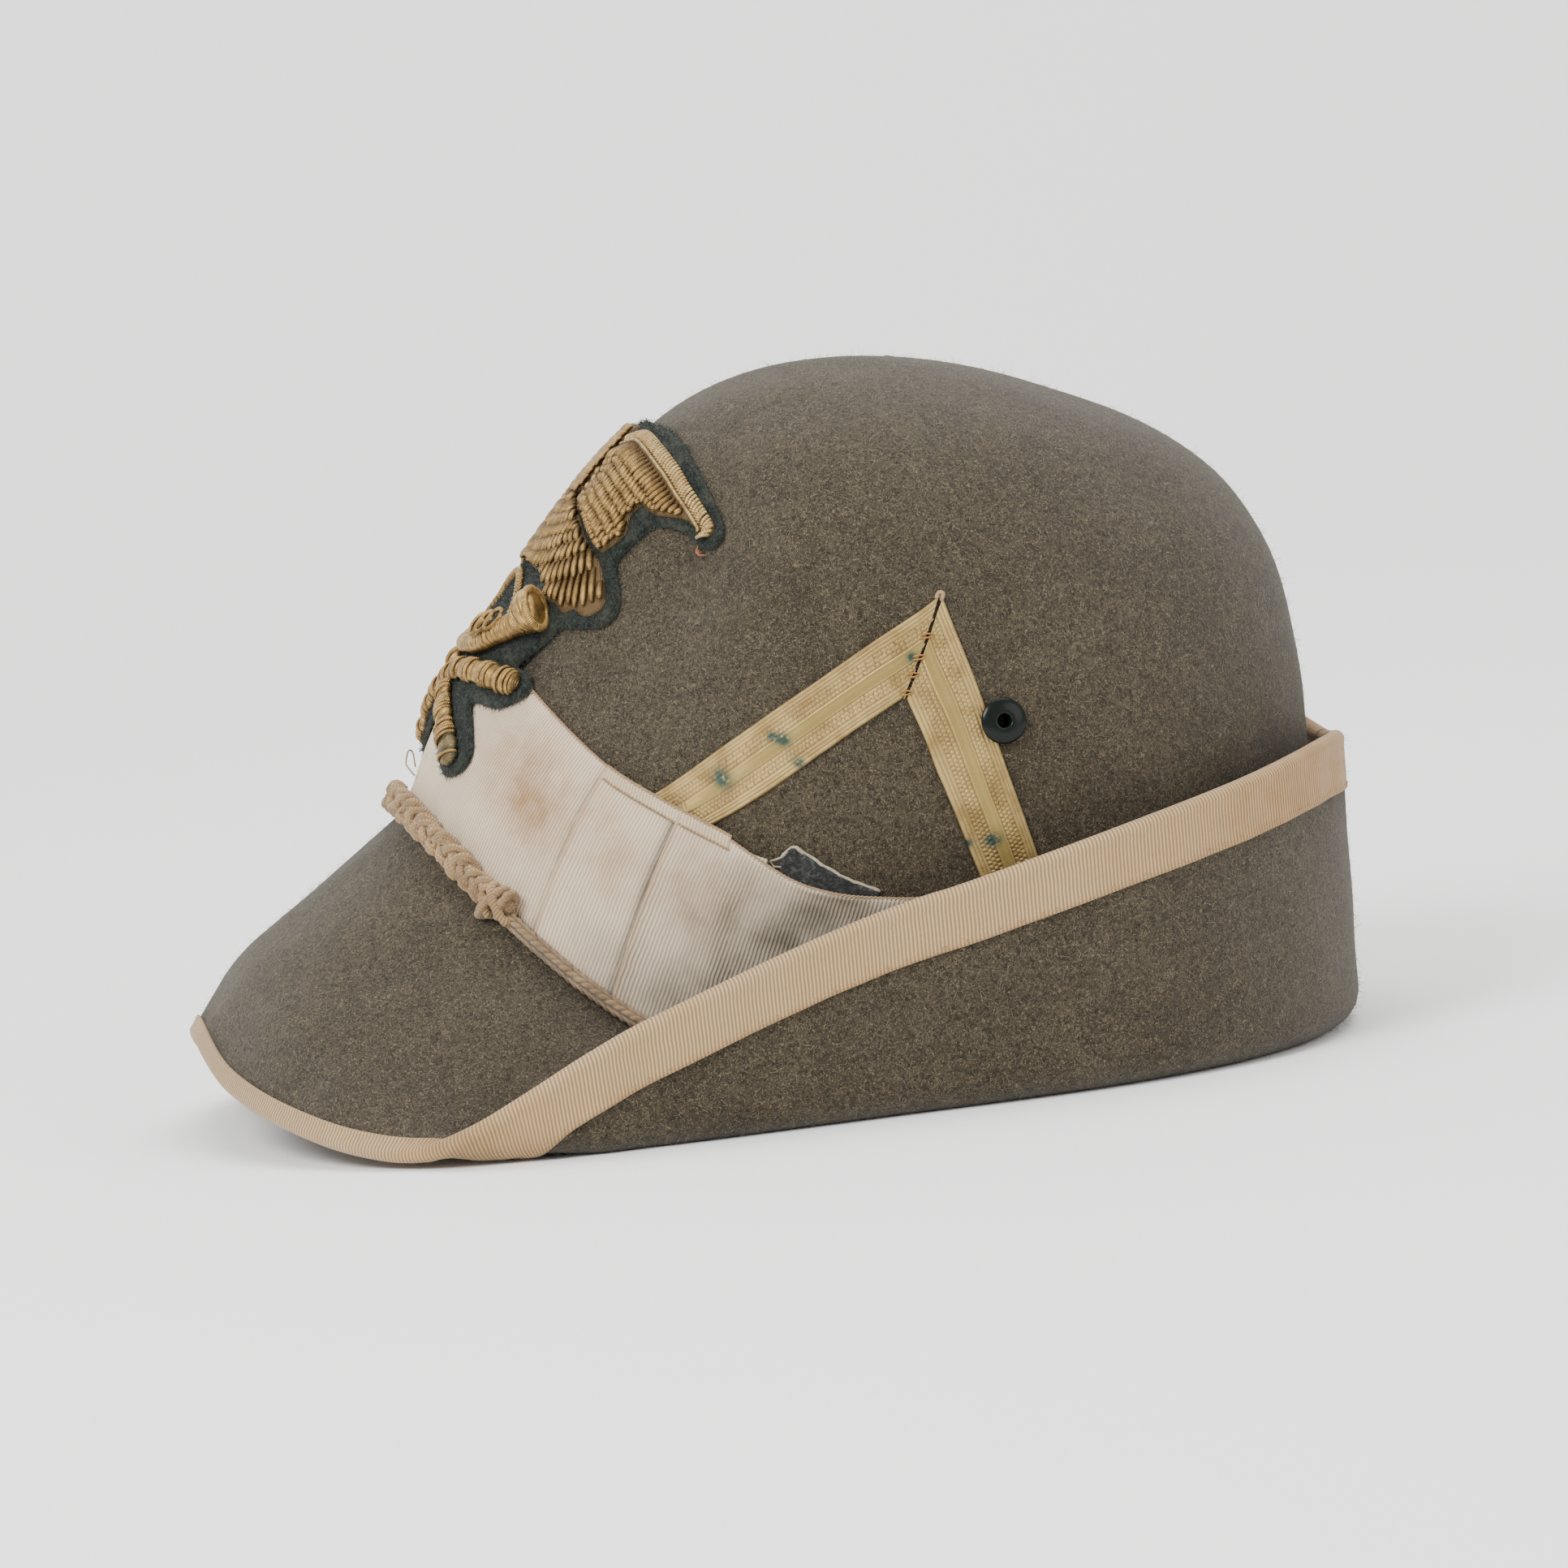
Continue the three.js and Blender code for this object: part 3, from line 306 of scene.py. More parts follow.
def on_badge(across, high, off):
    """A point of the badge: millimetres across from the middle of the front, and up."""
    across, high = np.broadcast_arrays(np.asarray(across, float), np.asarray(high, float))
    v = section_at(np.zeros_like(high), high)
    k = np.clip((v / TOP * 220).astype(int), 0, 219)
    w = v / TOP * 220 - k
    rounds = np.empty(across.shape)
    up = np.empty(across.shape)
    for index in np.ndindex(across.shape):
        column = (ACROSS_BY_SECTION[:, k[index]] * (1 - w[index])
                  + ACROSS_BY_SECTION[:, k[index] + 1] * w[index])
        rounds[index] = np.interp(abs(across[index]), column, DEGREES) * np.sign(across[index])
        degree = int(round(abs(rounds[index])))
        up[index] = np.interp(v[index], SECTIONS, UP_BY_DEGREE[degree])
    clear = np.clip((up - around(BAND_TOP, rounds)[..., 1] - 3) / 8, 0, 1)
    lift = (RIBBON + 0.45) * (1 - clear)
    return off_felt(rounds, v, 0.45 + lift + np.asarray(off, float))


def stand_off(rounds, up):
    """How far the band stands off the crown over the leather tab."""
    angle = (np.asarray(rounds, float) + 180) % 360 - 180
    middle = (TAB_BULGE["from"] + TAB_BULGE["to"]) / 2
    reach = (TAB_BULGE["to"] - TAB_BULGE["from"]) / 2
    side = np.clip((np.abs(angle - middle) - reach) / 7, 0, 1)
    rise = np.clip((np.asarray(up, float) - 6) / 13, 0, 1)
    return (TAB_BULGE["off"] * (1 - side * side * (3 - 2 * side))
            * rise * rise * (3 - 2 * rise))


# Meshes and nodes.
def srgb(code):
    """The linear colour of an sRGB hex value."""
    values = [int(code[i:i + 2], 16) / 255 for i in (1, 3, 5)]
    return tuple(v / 12.92 if v <= 0.04045 else ((v + 0.055) / 1.055) ** 2.4 for v in values) + (1,)


def to_frame(points):
    """Millimetres of the hat's own axes to metres of the frame."""
    return (np.asarray(points, float).reshape(-1, 3) - [BOX_MIDDLE_X, 0, 0]) * MM


def new_piece(name, points, faces, material, uv=None, smooth=True, marked=None):
    """A mesh object; uv gives each point's place on the material, in millimetres.

    The last argument gives each point how much it is stained, how much it is darkened by dirt and
    painted shade, and a third mark.
    """
    mesh = bpy.data.meshes.new(name)
    mesh.from_pydata(to_frame(points).tolist(), [], [list(map(int, f)) for f in faces])
    mesh.validate()
    if uv is not None:
        layer = mesh.uv_layers.new(name="cut")
        loops = np.empty(len(mesh.loops), int)
        mesh.loops.foreach_get("vertex_index", loops)
        layer.data.foreach_set("uv", np.asarray(uv, float).reshape(-1, 2)[loops].ravel())
    if marked is not None:
        marks = np.ones((len(mesh.vertices), 4), np.float32)
        marks[:, :3] = np.clip(np.asarray(marked, float).reshape(-1, 3), 0, 1)
        layer = mesh.color_attributes.new("marked", "FLOAT_COLOR", "POINT")
        layer.data.foreach_set("color", marks.ravel())
    mesh.polygons.foreach_set("use_smooth", [smooth] * len(mesh.polygons))
    mesh.materials.append(material)
    piece = bpy.data.objects.new(name, mesh)
    bpy.context.scene.collection.objects.link(piece)
    return piece


def grid_faces(rows, columns, wrap=False, start=0):
    """Quads of a grid of points, its rows closed round where wrap says so."""
    last = columns if wrap else columns - 1
    i, j = np.meshgrid(np.arange(rows - 1), np.arange(last), indexing="ij")
    k = (j + 1) % columns
    quads = [i * columns + j, (i + 1) * columns + j, (i + 1) * columns + k, i * columns + k]
    return (np.stack(quads, -1).reshape(-1, 4) + start).tolist()


def sheet_piece(name, outer, inner, material, uv, wrap=False, marked=None):
    """A sheet between an outer and an inner grid of points, closed at its borders."""
    rows, columns = outer.shape[:2]
    count = rows * columns
    faces = grid_faces(rows, columns, wrap)
    faces += [face[::-1] for face in grid_faces(rows, columns, wrap, count)]
    rims = [[j for j in range(columns)], [(rows - 1) * columns + j for j in range(columns)][::-1]]
    for rim in rims:
        pairs = zip(rim, rim[1:] + (rim[:1] if wrap else []))
        faces += [[b, a, a + count, b + count][::-1] for a, b in pairs]
    if not wrap:
        for rim in ([i * columns for i in range(rows)][::-1],
                    [i * columns + columns - 1 for i in range(rows)]):
            faces += [[b, a, a + count, b + count][::-1] for a, b in zip(rim, rim[1:])]
    points = np.concatenate([outer.reshape(-1, 3), inner.reshape(-1, 3)])
    both = np.concatenate([uv.reshape(-1, 2), uv.reshape(-1, 2)])
    if marked is not None:
        marked = np.concatenate([marked.reshape(-1, 3)] * 2)
    piece = new_piece(name, points, faces, material, both, marked=marked)
    face_outward(piece)
    return piece


def face_outward(piece):
    """Turns every face of a closed piece outward."""
    made = bmesh.new()
    made.from_mesh(piece.data)
    bmesh.ops.recalc_face_normals(made, faces=made.faces)
    made.to_mesh(piece.data)
    made.free()


def tube_parts(path, radius, sides, normals=None, flat=1.0):
    """Rings of points round a path, with a radius each."""
    path = np.asarray(path, float)
    count = len(path)
    radius = np.broadcast_to(np.asarray(radius, float), (count,))
    along = np.gradient(path, axis=0)
    along /= np.linalg.norm(along, axis=1, keepdims=True) + 1e-12
    if normals is None:
        normals = np.tile([0.31, 0.42, 0.85], (count, 1))
    side = np.cross(along, normals)
    side /= np.linalg.norm(side, axis=1, keepdims=True) + 1e-12
    out = np.cross(side, along)
    angles = 2 * np.pi * np.arange(sides) / sides
    ring = (side[:, None] * np.cos(angles)[:, None]
            + out[:, None] * np.sin(angles)[:, None] * flat)
    return path[:, None] + ring * radius[:, None, None]


class Bundle:
    """Collects many tubes into one mesh."""

    def __init__(self):
        self.points, self.faces, self.uv, self.marked, self.count = [], [], [], [], 0

    def tube(self, path, radius, sides=6, normals=None, cap=0.6, flat=1.0, joint_shade=0.0,
             green=0.0):
        path = np.asarray(path, float)
        radius = np.broadcast_to(np.asarray(radius, float), (len(path),)).copy()
        joint_shade = np.broadcast_to(np.asarray(joint_shade, float), (len(path),))
        green = np.broadcast_to(np.asarray(green, float), (len(path),))
        if cap:
            step = path[1] - path[0]
            first = path[0] - step / np.linalg.norm(step) * radius[0] * cap
            step = path[-1] - path[-2]
            last = path[-1] + step / np.linalg.norm(step) * radius[-1] * cap
            path = np.vstack([first, path, last])
            radius = np.r_[radius[0] * 0.35, radius, radius[-1] * 0.35]
            joint_shade = np.r_[joint_shade[0], joint_shade, joint_shade[-1]]
            green = np.r_[green[0], green, green[-1]]
            if normals is not None:
                normals = np.vstack([normals[:1], normals, normals[-1:]])
        rings = tube_parts(path, radius, sides, normals, flat)
        rows = len(path)
        length = np.r_[0, np.cumsum(np.linalg.norm(np.diff(path, axis=0), axis=1))]
        self.points.append(rings.reshape(-1, 3))
        turn = np.arange(sides) / sides
        uv = np.stack(np.broadcast_arrays(length[:, None], turn[None, :]), -1)
        self.uv.append(uv.reshape(-1, 2))
        # Painted shade on each tube's underside, toward the surface that it lies on, kept in the second
        # mark.
        low = np.clip(0.42 - 0.8 * np.sin(2 * np.pi * turn), 0, 1) * (normals is not None)
        marks = np.zeros((rows, sides, 3))
        marks[..., 1] = np.maximum(low[None], joint_shade[:, None])
        marks[..., 2] = green[:, None]
        self.marked.append(marks.reshape(-1, 3))
        self.faces += [f[::-1] for f in grid_faces(rows, sides, True, self.count)]
        self.faces.append([self.count + j for j in range(sides)])
        end = self.count + (rows - 1) * sides
        self.faces.append([end + j for j in range(sides)][::-1])
        self.count += rows * sides

    def piece(self, name, material):
        made = new_piece(name, np.concatenate(self.points), self.faces, material,
                         np.concatenate(self.uv), marked=np.concatenate(self.marked))
        face_outward(made)
        return made


def inside(outline, points):
    """Which points lie inside a closed outline."""
    outline, points = np.asarray(outline, float), np.asarray(points, float)
    within = np.zeros(len(points), bool)
    for (x0, y0), (x1, y1) in zip(outline, np.roll(outline, -1, axis=0)):
        crosses = (y0 > points[:, 1]) != (y1 > points[:, 1])
        at = x0 + (points[:, 1] - y0) * (x1 - x0) / ((y1 - y0) or 1e-9)
        within ^= crosses & (points[:, 0] < at)
    return within


def edge_distance(outline, points):
    """How far each point is from the outline."""
    outline, points = np.asarray(outline, float), np.asarray(points, float)
    best = np.full(len(points), np.inf)
    for a, b in zip(outline, np.roll(outline, -1, axis=0)):
        t = np.clip(((points - a) @ (b - a)) / max((b - a) @ (b - a), 1e-9), 0, 1)
        best = np.minimum(best, np.linalg.norm(points - a - t[:, None] * (b - a), axis=1))
    return best


def smooth_outline(outline, step):
    """A closed outline rounded through its corners, with points a step apart."""
    outline = np.asarray(outline, float)
    n = len(outline)
    out = []
    for i in range(n):
        a, b, c, d = (outline[(i + k - 1) % n] for k in range(4))
        parts = max(1, int(np.linalg.norm(c - b) / step))
        for t in np.arange(parts) / parts:
            out.append(0.5 * (2 * b + (c - a) * t + (2 * a - 5 * b + 4 * c - d) * t * t
                              + (3 * b - a - 3 * c + d) * t**3))
    return np.array(out)


def padded_piece(name, outline, place, high, roll, material, step=1.0, low=0.0):
    """A domed pad inside an outline: it rises from its border over so many millimetres."""
    rim = smooth_outline(outline, step)
    lo, hi = rim.min(0), rim.max(0)
    xs, ys = np.meshgrid(np.arange(lo[0], hi[0], step), np.arange(lo[1], hi[1], step))
    grid = np.stack([xs.ravel(), ys.ravel()], -1)
    grid = grid[inside(rim, grid)]
    grid = grid[edge_distance(rim, grid) > 0.45 * step]
    flat = [Vector(p) for p in np.vstack([rim, grid])]
    loop = list(range(len(rim)))
    verts, _, faces, *_ = delaunay_2d_cdt(flat, [], [loop], 1, 1e-6)
    flat = np.array([[v.x, v.y] for v in verts])
    far = edge_distance(rim, flat)
    height = low + (high - low) * np.sqrt(1 - np.clip(1 - far / roll, 0, 1) ** 2)
    upper = place(flat[:, 0], flat[:, 1], height)
    under = place(flat[:, 0], flat[:, 1], np.zeros(len(flat)))
    count = len(flat)
    all_faces = [list(f) for f in faces]
    sides = {}
    for face in all_faces:
        for a, b in zip(face, face[1:] + face[:1]):
            if (b, a) in sides:
                del sides[(b, a)]
            else:
                sides[(a, b)] = True
    solid = list(all_faces) + [[p + count for p in f][::-1] for f in all_faces]
    solid += [[b, a, a + count, b + count] for a, b in sides]
    piece = new_piece(name, np.vstack([upper, under]), solid, material, np.vstack([flat, flat]))
    face_outward(piece)
    return piece


def line_through(points, step):
    """A smooth open line through points, a step apart."""
    points = np.asarray(points, float)
    ext = np.vstack([2 * points[0] - points[1], points, 2 * points[-1] - points[-2]])
    out = []
    for i in range(len(points) - 1):
        a, b, c, d = ext[i:i + 4]
        parts = max(1, int(round(np.linalg.norm((c - b)[:2]) / step)))
        for t in np.arange(parts) / parts:
            out.append(0.5 * (2 * b + (c - a) * t + (2 * a - 5 * b + 4 * c - d) * t * t
                              + (3 * b - a - 3 * c + d) * t**3))
    out.append(points[-1])
    return np.array(out)


# The finishes.
class Finish:
    """A material's node tree, built up call by call."""

    def __init__(self, name):
        self.material = bpy.data.materials.new(name)
        self.material.use_nodes = True
        self.tree = self.material.node_tree
        self.shader = self.tree.nodes["Principled BSDF"]
        self.object = self.add("ShaderNodeTexCoord").outputs["Object"]
        self.cut = self.add("ShaderNodeUVMap")
        self.cut.uv_map = "cut"
        split = self.add("ShaderNodeSeparateXYZ", Vector=self.cut.outputs[0])
        self.u, self.v = split.outputs[0], split.outputs[1]

    def add(self, kind, **inputs):
        node = self.tree.nodes.new(kind)
        for name, value in inputs.items():
            self.put(node.inputs[name.replace("_", " ")], value)
        return node

    def put(self, socket, value):
        if isinstance(value, bpy.types.NodeSocket):
            self.tree.links.new(value, socket)
        else:
            socket.default_value = value

    def math(self, operation, a, b=0.0, c=0.0):
        node = self.add("ShaderNodeMath")
        node.operation = operation
        for socket, value in zip(node.inputs, (a, b, c)):
            self.put(socket, value)
        return node.outputs[0]

    def noise(self, size_mm, detail=3.0, rough=0.55, vector=None, distortion=0.0):
        node = self.add("ShaderNodeTexNoise", Vector=vector or self.object,
                        Scale=1 / (size_mm * MM), Detail=detail, Roughness=rough,
                        Distortion=distortion)
        return node.outputs[0]

    def noise_cut(self, size_u, size_v, detail=2.0):
        """Noise on the cloth's own cut, stretched along its threads."""
        scale = self.add("ShaderNodeMapping", Vector=self.cut.outputs[0],
                         Scale=(1 / size_u, 1 / size_v, 1))
        return self.noise(1000.0, detail, vector=scale.outputs[0])

    def between(self, value, low, high, soft=True):
        node = self.add("ShaderNodeMapRange", Value=value)
        node.interpolation_type = "SMOOTHSTEP" if soft else "LINEAR"
        node.inputs["From Min"].default_value = low
        node.inputs["From Max"].default_value = high
        return node.outputs[0]

    def mix(self, factor, a, b, blend="MIX"):
        node = self.add("ShaderNodeMix")
        node.data_type = "RGBA"
        node.blend_type = blend
        self.put(node.inputs["Factor"], factor)
        self.put(node.inputs["A"], a)
        self.put(node.inputs["B"], b)
        return node.outputs["Result"]

    def wave(self, value, pitch):
        """A sine along a value, 0 to 1, one turn for each pitch."""
        turn = self.math("SINE", self.math("MULTIPLY", value, 2 * math.pi / pitch))
        return self.math("MULTIPLY_ADD", turn, 0.5, 0.5)

    def marked(self):
        """The three marks that a piece carries point by point; the second often holds painted shade."""
        node = self.add("ShaderNodeVertexColor")
        node.layer_name = "marked"
        return self.add("ShaderNodeSeparateColor", Color=node.outputs[0]).outputs[:3]

    def bump(self, height, distance_mm, normal=None):
        node = self.add("ShaderNodeBump", Height=height, Strength=1.0, Distance=distance_mm * MM)
        if normal is not None:
            self.put(node.inputs["Normal"], normal)
        self.put(self.shader.inputs["Normal"], node.outputs[0])
        return node.outputs[0]

    def surface(self, **values):
        for name, value in values.items():
            self.put(self.shader.inputs[name.replace("_", " ")], value)
        return self.material


def felt_finish(colours):
    # Blocked wool felt: matt, fibres lie every way, paler ends stand proud, soiled by handling, with
    # fine painted shadow between the fibres.
    f = Finish("blocked_wool_felt")
    cloud = f.between(f.noise(45, 3), 0.3, 0.7)
    blotch = f.between(f.noise(12, 4, 0.6), 0.4, 0.66)
    # grain: fine painted shadow between the fibres, mixed in below as near black #1a160e
    grain = f.between(f.noise(1.2, 5, 0.8, distortion=1.2), 0.43, 0.58)
    hairs = f.between(f.noise(0.95, 3, 0.75, distortion=3.0), 0.54, 0.61)
    colour = f.mix(cloud, srgb(colours.felt_dark), srgb(colours.felt))
    colour = f.mix(f.math("MULTIPLY", blotch, 0.2), colour, srgb("#5d5442"))
    colour = f.mix(f.math("MULTIPLY", grain, 0.84), colour, srgb("#1a160e"))
    colour = f.mix(f.math("MULTIPLY", hairs, 0.44), colour, srgb("#97886c"))
    rough = f.bump(f.noise(0.7, 4, 0.75, distortion=1.2), 0.3)
    f.bump(f.noise(3.2, 3, 0.6), 0.25, rough)
    return f.surface(Base_Color=colour, Roughness=0.95, Sheen_Weight=0.15, Sheen_Roughness=0.5,
                     Specular_IOR_Level=0.15)


def ribbon_finish(name, pale, dark, grime_and_shade, pitch, deep):
    # Grosgrain: fat ribs across the ribbon, fine warp over them, sun-faded and soiled, with painted
    # shade in the grooves between the ribs.
    f = Finish(name)
    stain, darkening, rubbed = f.marked()
    drift = f.math("MULTIPLY", f.noise_cut(18, 6), 0.5)
    ribs = f.wave(f.math("ADD", f.u, drift), pitch)
    weave = f.wave(f.v, 0.42)
    cloud = f.between(f.noise(9, 5, 0.6), 0.3, 0.72)
    uneven = f.math("ADD", f.math("MULTIPLY", cloud, 0.5), 0.6)
    colour = f.mix(f.math("MULTIPLY", cloud, 0.14), srgb(pale), srgb(dark))
    colour = f.mix(f.math("MULTIPLY", stain, uneven), colour, srgb(dark))
    # The second mark darkens toward the dark colour; on the band it holds painted shadow by the pleats
    # among other darkening.
    even = f.math("MULTIPLY_ADD", cloud, 0.25, 0.6)
    colour = f.mix(f.math("MULTIPLY", darkening, even), colour, srgb(grime_and_shade))
    # Painted shade: the grooves between the ribs are darkened toward the dark colour, as much as deep
    # says.
    shade = f.math("MULTIPLY", f.math("SUBTRACT", 1.0, ribs), deep)
    colour = f.mix(shade, colour, srgb(grime_and_shade))
    colour = f.mix(f.math("MULTIPLY", rubbed, 0.7), colour, srgb("#9a7346"))
    height = f.math("ADD", ribs, f.math("MULTIPLY", weave, 0.2))
    height = f.math("ADD", height, f.math("MULTIPLY", f.noise(1.4, 3), 0.4))
    f.bump(height, 0.2)
    return f.surface(Base_Color=colour, Roughness=0.72, Sheen_Weight=0.2, Sheen_Roughness=0.4,
                     Specular_IOR_Level=0.3)


def cord_finish(name, pale, dark):
    # Cotton braid: each strand is a bundle of fine yarns laid at a slant, with painted shade between
    # the yarns and in the braid's hollows.
    f = Finish(name)
    _, hollow_shade, _ = f.marked()
    yarn = f.wave(f.math("ADD", f.u, f.math("MULTIPLY", f.v, 2.0)), 0.7)
    soil = f.between(f.noise(7, 4, 0.6), 0.35, 0.7)
    colour = f.mix(soil, srgb(pale), srgb(dark))
    # Painted shade between the yarns.
    colour = f.mix(f.math("MULTIPLY", f.math("SUBTRACT", 1.0, yarn), 0.55), colour,
                   srgb("#5c4630"))
    # Painted shade in the hollows between the braid's grains.
    colour = f.mix(f.math("MULTIPLY", hollow_shade, 0.85), colour, srgb("#3d2f20"))
    f.bump(f.math("ADD", yarn, f.noise(0.5, 2)), 0.12)
    return f.surface(Base_Color=colour, Roughness=0.85, Sheen_Weight=0.25,
                     Specular_IOR_Level=0.25)


def gold_finish(name, bright, tarnish, pitch, rough, metal=0.75):
    # Purl and thread of gilded wire: fine turns with painted shade between them, painted shade in dark
    # brown on the undersides and in the joints so the tops look bright, some green.
    f = Finish(name)
    _, joint_shade, green = f.marked()
    turns = f.wave(f.math("ADD", f.u, f.v), pitch)
    aged = f.between(f.noise(6, 5, 0.62), 0.36, 0.68)
    dull = f.between(f.noise(1.5, 3, 0.6), 0.42, 0.66)
    colour = f.mix(f.math("MULTIPLY", aged, 0.75), srgb(bright), srgb(tarnish))
    colour = f.mix(f.math("MULTIPLY", dull, 0.6), colour, srgb("#755d38"))
    # Painted shade between the turns of wire.
    colour = f.mix(f.math("MULTIPLY", f.math("SUBTRACT", 1.0, turns), 0.5), colour,
                   srgb("#574222"))
    # Painted shade in the joints and on the undersides.
    colour = f.mix(f.math("MULTIPLY", joint_shade, 0.9), colour, srgb("#4a361c"))
    spots = f.math("MULTIPLY", green, f.between(f.noise(1.3, 4, 0.7), 0.3, 0.48))
    colour = f.mix(spots, colour, srgb("#18332b"))
    shine = f.math("SUBTRACT", metal, f.math("MULTIPLY", spots, metal))
    f.bump(f.math("ADD", turns, f.math("MULTIPLY", f.noise(0.8, 2), 0.5)), 0.12)
    return f.surface(Base_Color=colour, Metallic=shine, Roughness=rough)


def lace_finish():
    # Woven gilt lace: flat strips over cotton, dull in the weave with painted shade in its hollows and
    # between the wires, bright along the middle.
    f = Finish("gilt_lace")
    strip, joint_shade, green = f.marked()
    aged = f.between(f.noise(7, 5, 0.62), 0.36, 0.68)
    wires = f.wave(f.u, 0.4)
    colour = f.mix(aged, srgb("#b39a63"), srgb("#8d7343"))
    colour = f.mix(f.math("MULTIPLY", strip, 0.8), colour, srgb("#a08b4f"))
    # Painted shade between the wires.
    colour = f.mix(f.math("MULTIPLY", f.math("SUBTRACT", 1.0, wires), 0.16), colour,
                   srgb("#7a6238"))
    colour = f.mix(f.math("MULTIPLY", joint_shade, 0.85), colour, srgb("#54401f"))
    spots = f.math("MULTIPLY", green, f.between(f.noise(1.3, 4, 0.7), 0.3, 0.48))
    colour = f.mix(spots, colour, srgb("#123428"))
    shine = f.math("MULTIPLY", f.math("SUBTRACT", 1.0, spots), 0.6)
    rough = f.math("SUBTRACT", 0.46, f.math("MULTIPLY", strip, 0.14))
    f.bump(f.math("ADD", f.math("MULTIPLY", wires, 0.4), f.noise(0.9, 3)), 0.08)
    return f.surface(Base_Color=colour, Metallic=shine, Roughness=rough)


def wool_cloth_finish():
    # Milled wool cloth: short dark green pile.
    f = Finish("badge_wool_cloth")
    pile = f.between(f.noise(0.9, 4, 0.7, distortion=1.0), 0.4, 0.7)
    marked = f.between(f.noise(7, 3), 0.5, 0.7)
    colour = f.mix(pile, srgb("#141815"), srgb("#353d36"))
    colour = f.mix(f.math("MULTIPLY", marked, 0.25), colour, srgb("#5d5c4c"))
    f.bump(f.noise(0.8, 4, 0.7), 0.6)
    return f.surface(Base_Color=colour, Roughness=0.95, Sheen_Weight=0.1,
                     Specular_IOR_Level=0.15)


def leather_finish():
    # Thin dyed leather: dark and smooth on the grain side, rubbed at its folds.
    f = Finish("dyed_leather")
    marked = f.between(f.noise(4, 5, 0.65), 0.45, 0.7)
    cracks = f.between(f.noise(2.2, 5, 0.8, distortion=1.0), 0.45, 0.6)
    colour = f.mix(f.math("MULTIPLY", marked, 0.6), srgb("#232423"), srgb("#4f504b"))
    f.bump(cracks, 0.35)
    return f.surface(Base_Color=colour, Roughness=0.55)


def raw_edge_finish():
    # The cut edge of the leather: pale fibres.
    f = Finish("raw_leather_edge")
    colour = f.mix(f.noise(1.2, 3), srgb("#7d725f"), srgb("#b7ab94"))
    f.bump(f.noise(0.5, 3), 0.3)
    return f.surface(Base_Color=colour, Roughness=0.9)


def paint_finish():
    # Stove enamel on stamped brass: glossy, nearly black green, chipped a little.
    f = Finish("green_enamel")
    chips = f.between(f.noise(1.2, 3), 0.7, 0.74)
    colour = f.mix(f.math("MULTIPLY", chips, 0.4), srgb("#080f0b"), srgb("#4d4a36"))
    f.bump(f.noise(2.2, 2), 0.04)
    return f.surface(Base_Color=colour, Roughness=0.22, Specular_IOR_Level=0.2)


def thread_finish(name, pale, dark):
    # Sewing thread: twisted, slightly fuzzy.
    f = Finish(name)
    colour = f.mix(f.noise(1.5, 3), srgb(pale), srgb(dark))
    f.bump(f.wave(f.math("ADD", f.u, f.v), 0.35), 0.05)
    return f.surface(Base_Color=colour, Roughness=0.8)


def floor_finish(colours):
    # Plain matt paper.
    f = Finish("studio_paper")
    return f.surface(Base_Color=srgb(colours.floor), Roughness=0.9, Specular_IOR_Level=0.1)


FINISHES = {}


def finish(key):
    """The material of that name, made once."""
    colours = bpy.context.scene.hat_colours
    makers = {
        "felt": lambda: felt_finish(colours),
        "edge": lambda: ribbon_finish("grosgrain_edge", colours.edge, "#a87838", "#4a3c28", 0.93, 0.68),
        "band": lambda: ribbon_finish("grosgrain_band", colours.band, "#9d6f39", "#45423a", 0.7, 0.44),
        "cord": lambda: cord_finish("cotton_braid", colours.cord, "#8f7350"),
        "purl": lambda: gold_finish("gilt_purl", colours.gold, "#93743f", 0.42, 0.36),
        "bright": lambda: gold_finish("gilt_satin", "#d3b57c", "#a5824c", 0.6, 0.42, 0.5),
        # The padding's dark brown gold is painted shade for the gaps between the purl.
        "padding": lambda: gold_finish("gilt_ground_painted_shade", "#5f4a2b", "#3d2d17", 0.5, 0.6, 0.3),
        "lace": lace_finish,
        "cloth": wool_cloth_finish,
        "leather": leather_finish,
        "raw": raw_edge_finish,
        "paint": paint_finish,
        "thread": lambda: thread_finish("sewing_thread", "#b89a6f", "#6f5638"),
        "edge_thread": lambda: thread_finish("selvage_thread", "#b09470", "#7d6448"),
        "fibre": lambda: thread_finish("felt_fibre", "#8a826f", "#5b5443"),
        "pile": lambda: thread_finish("cloth_pile", "#39433c", "#161b17"),
        "tack": lambda: thread_finish("tacking_thread", "#c08c46", "#8a5f2c"),
        "rust": lambda: thread_finish("red_thread", "#8a4a2c", "#a87a55"),
        "floor": lambda: floor_finish(colours),
    }
    if key not in FINISHES:
        FINISHES[key] = makers[key]()
    return FINISHES[key]


# Repeats on nodes.
def node_tree(name, settings):
    """An empty Geometry Nodes tree with named inputs."""
    tree = bpy.data.node_groups.new(name, "GeometryNodeTree")
    tree.interface.new_socket("Geometry", in_out="INPUT", socket_type="NodeSocketGeometry")
    for label, (kind, value) in settings.items():
        socket = tree.interface.new_socket(label, in_out="INPUT", socket_type=kind)
        if value is not None:
            socket.default_value = value
    tree.interface.new_socket("Geometry", in_out="OUTPUT", socket_type="NodeSocketGeometry")
    return tree, tree.nodes.new("NodeGroupInput"), tree.nodes.new("NodeGroupOutput")


def linked(tree, kind, **links):
    """A node of a tree with its inputs linked or set."""
    node = tree.nodes.new(kind)
    for label, value in links.items():
        socket = node.inputs[label.replace("_", " ")]
        if isinstance(value, bpy.types.NodeSocket):
            tree.links.new(value, socket)
        else:
            socket.default_value = value
    return node


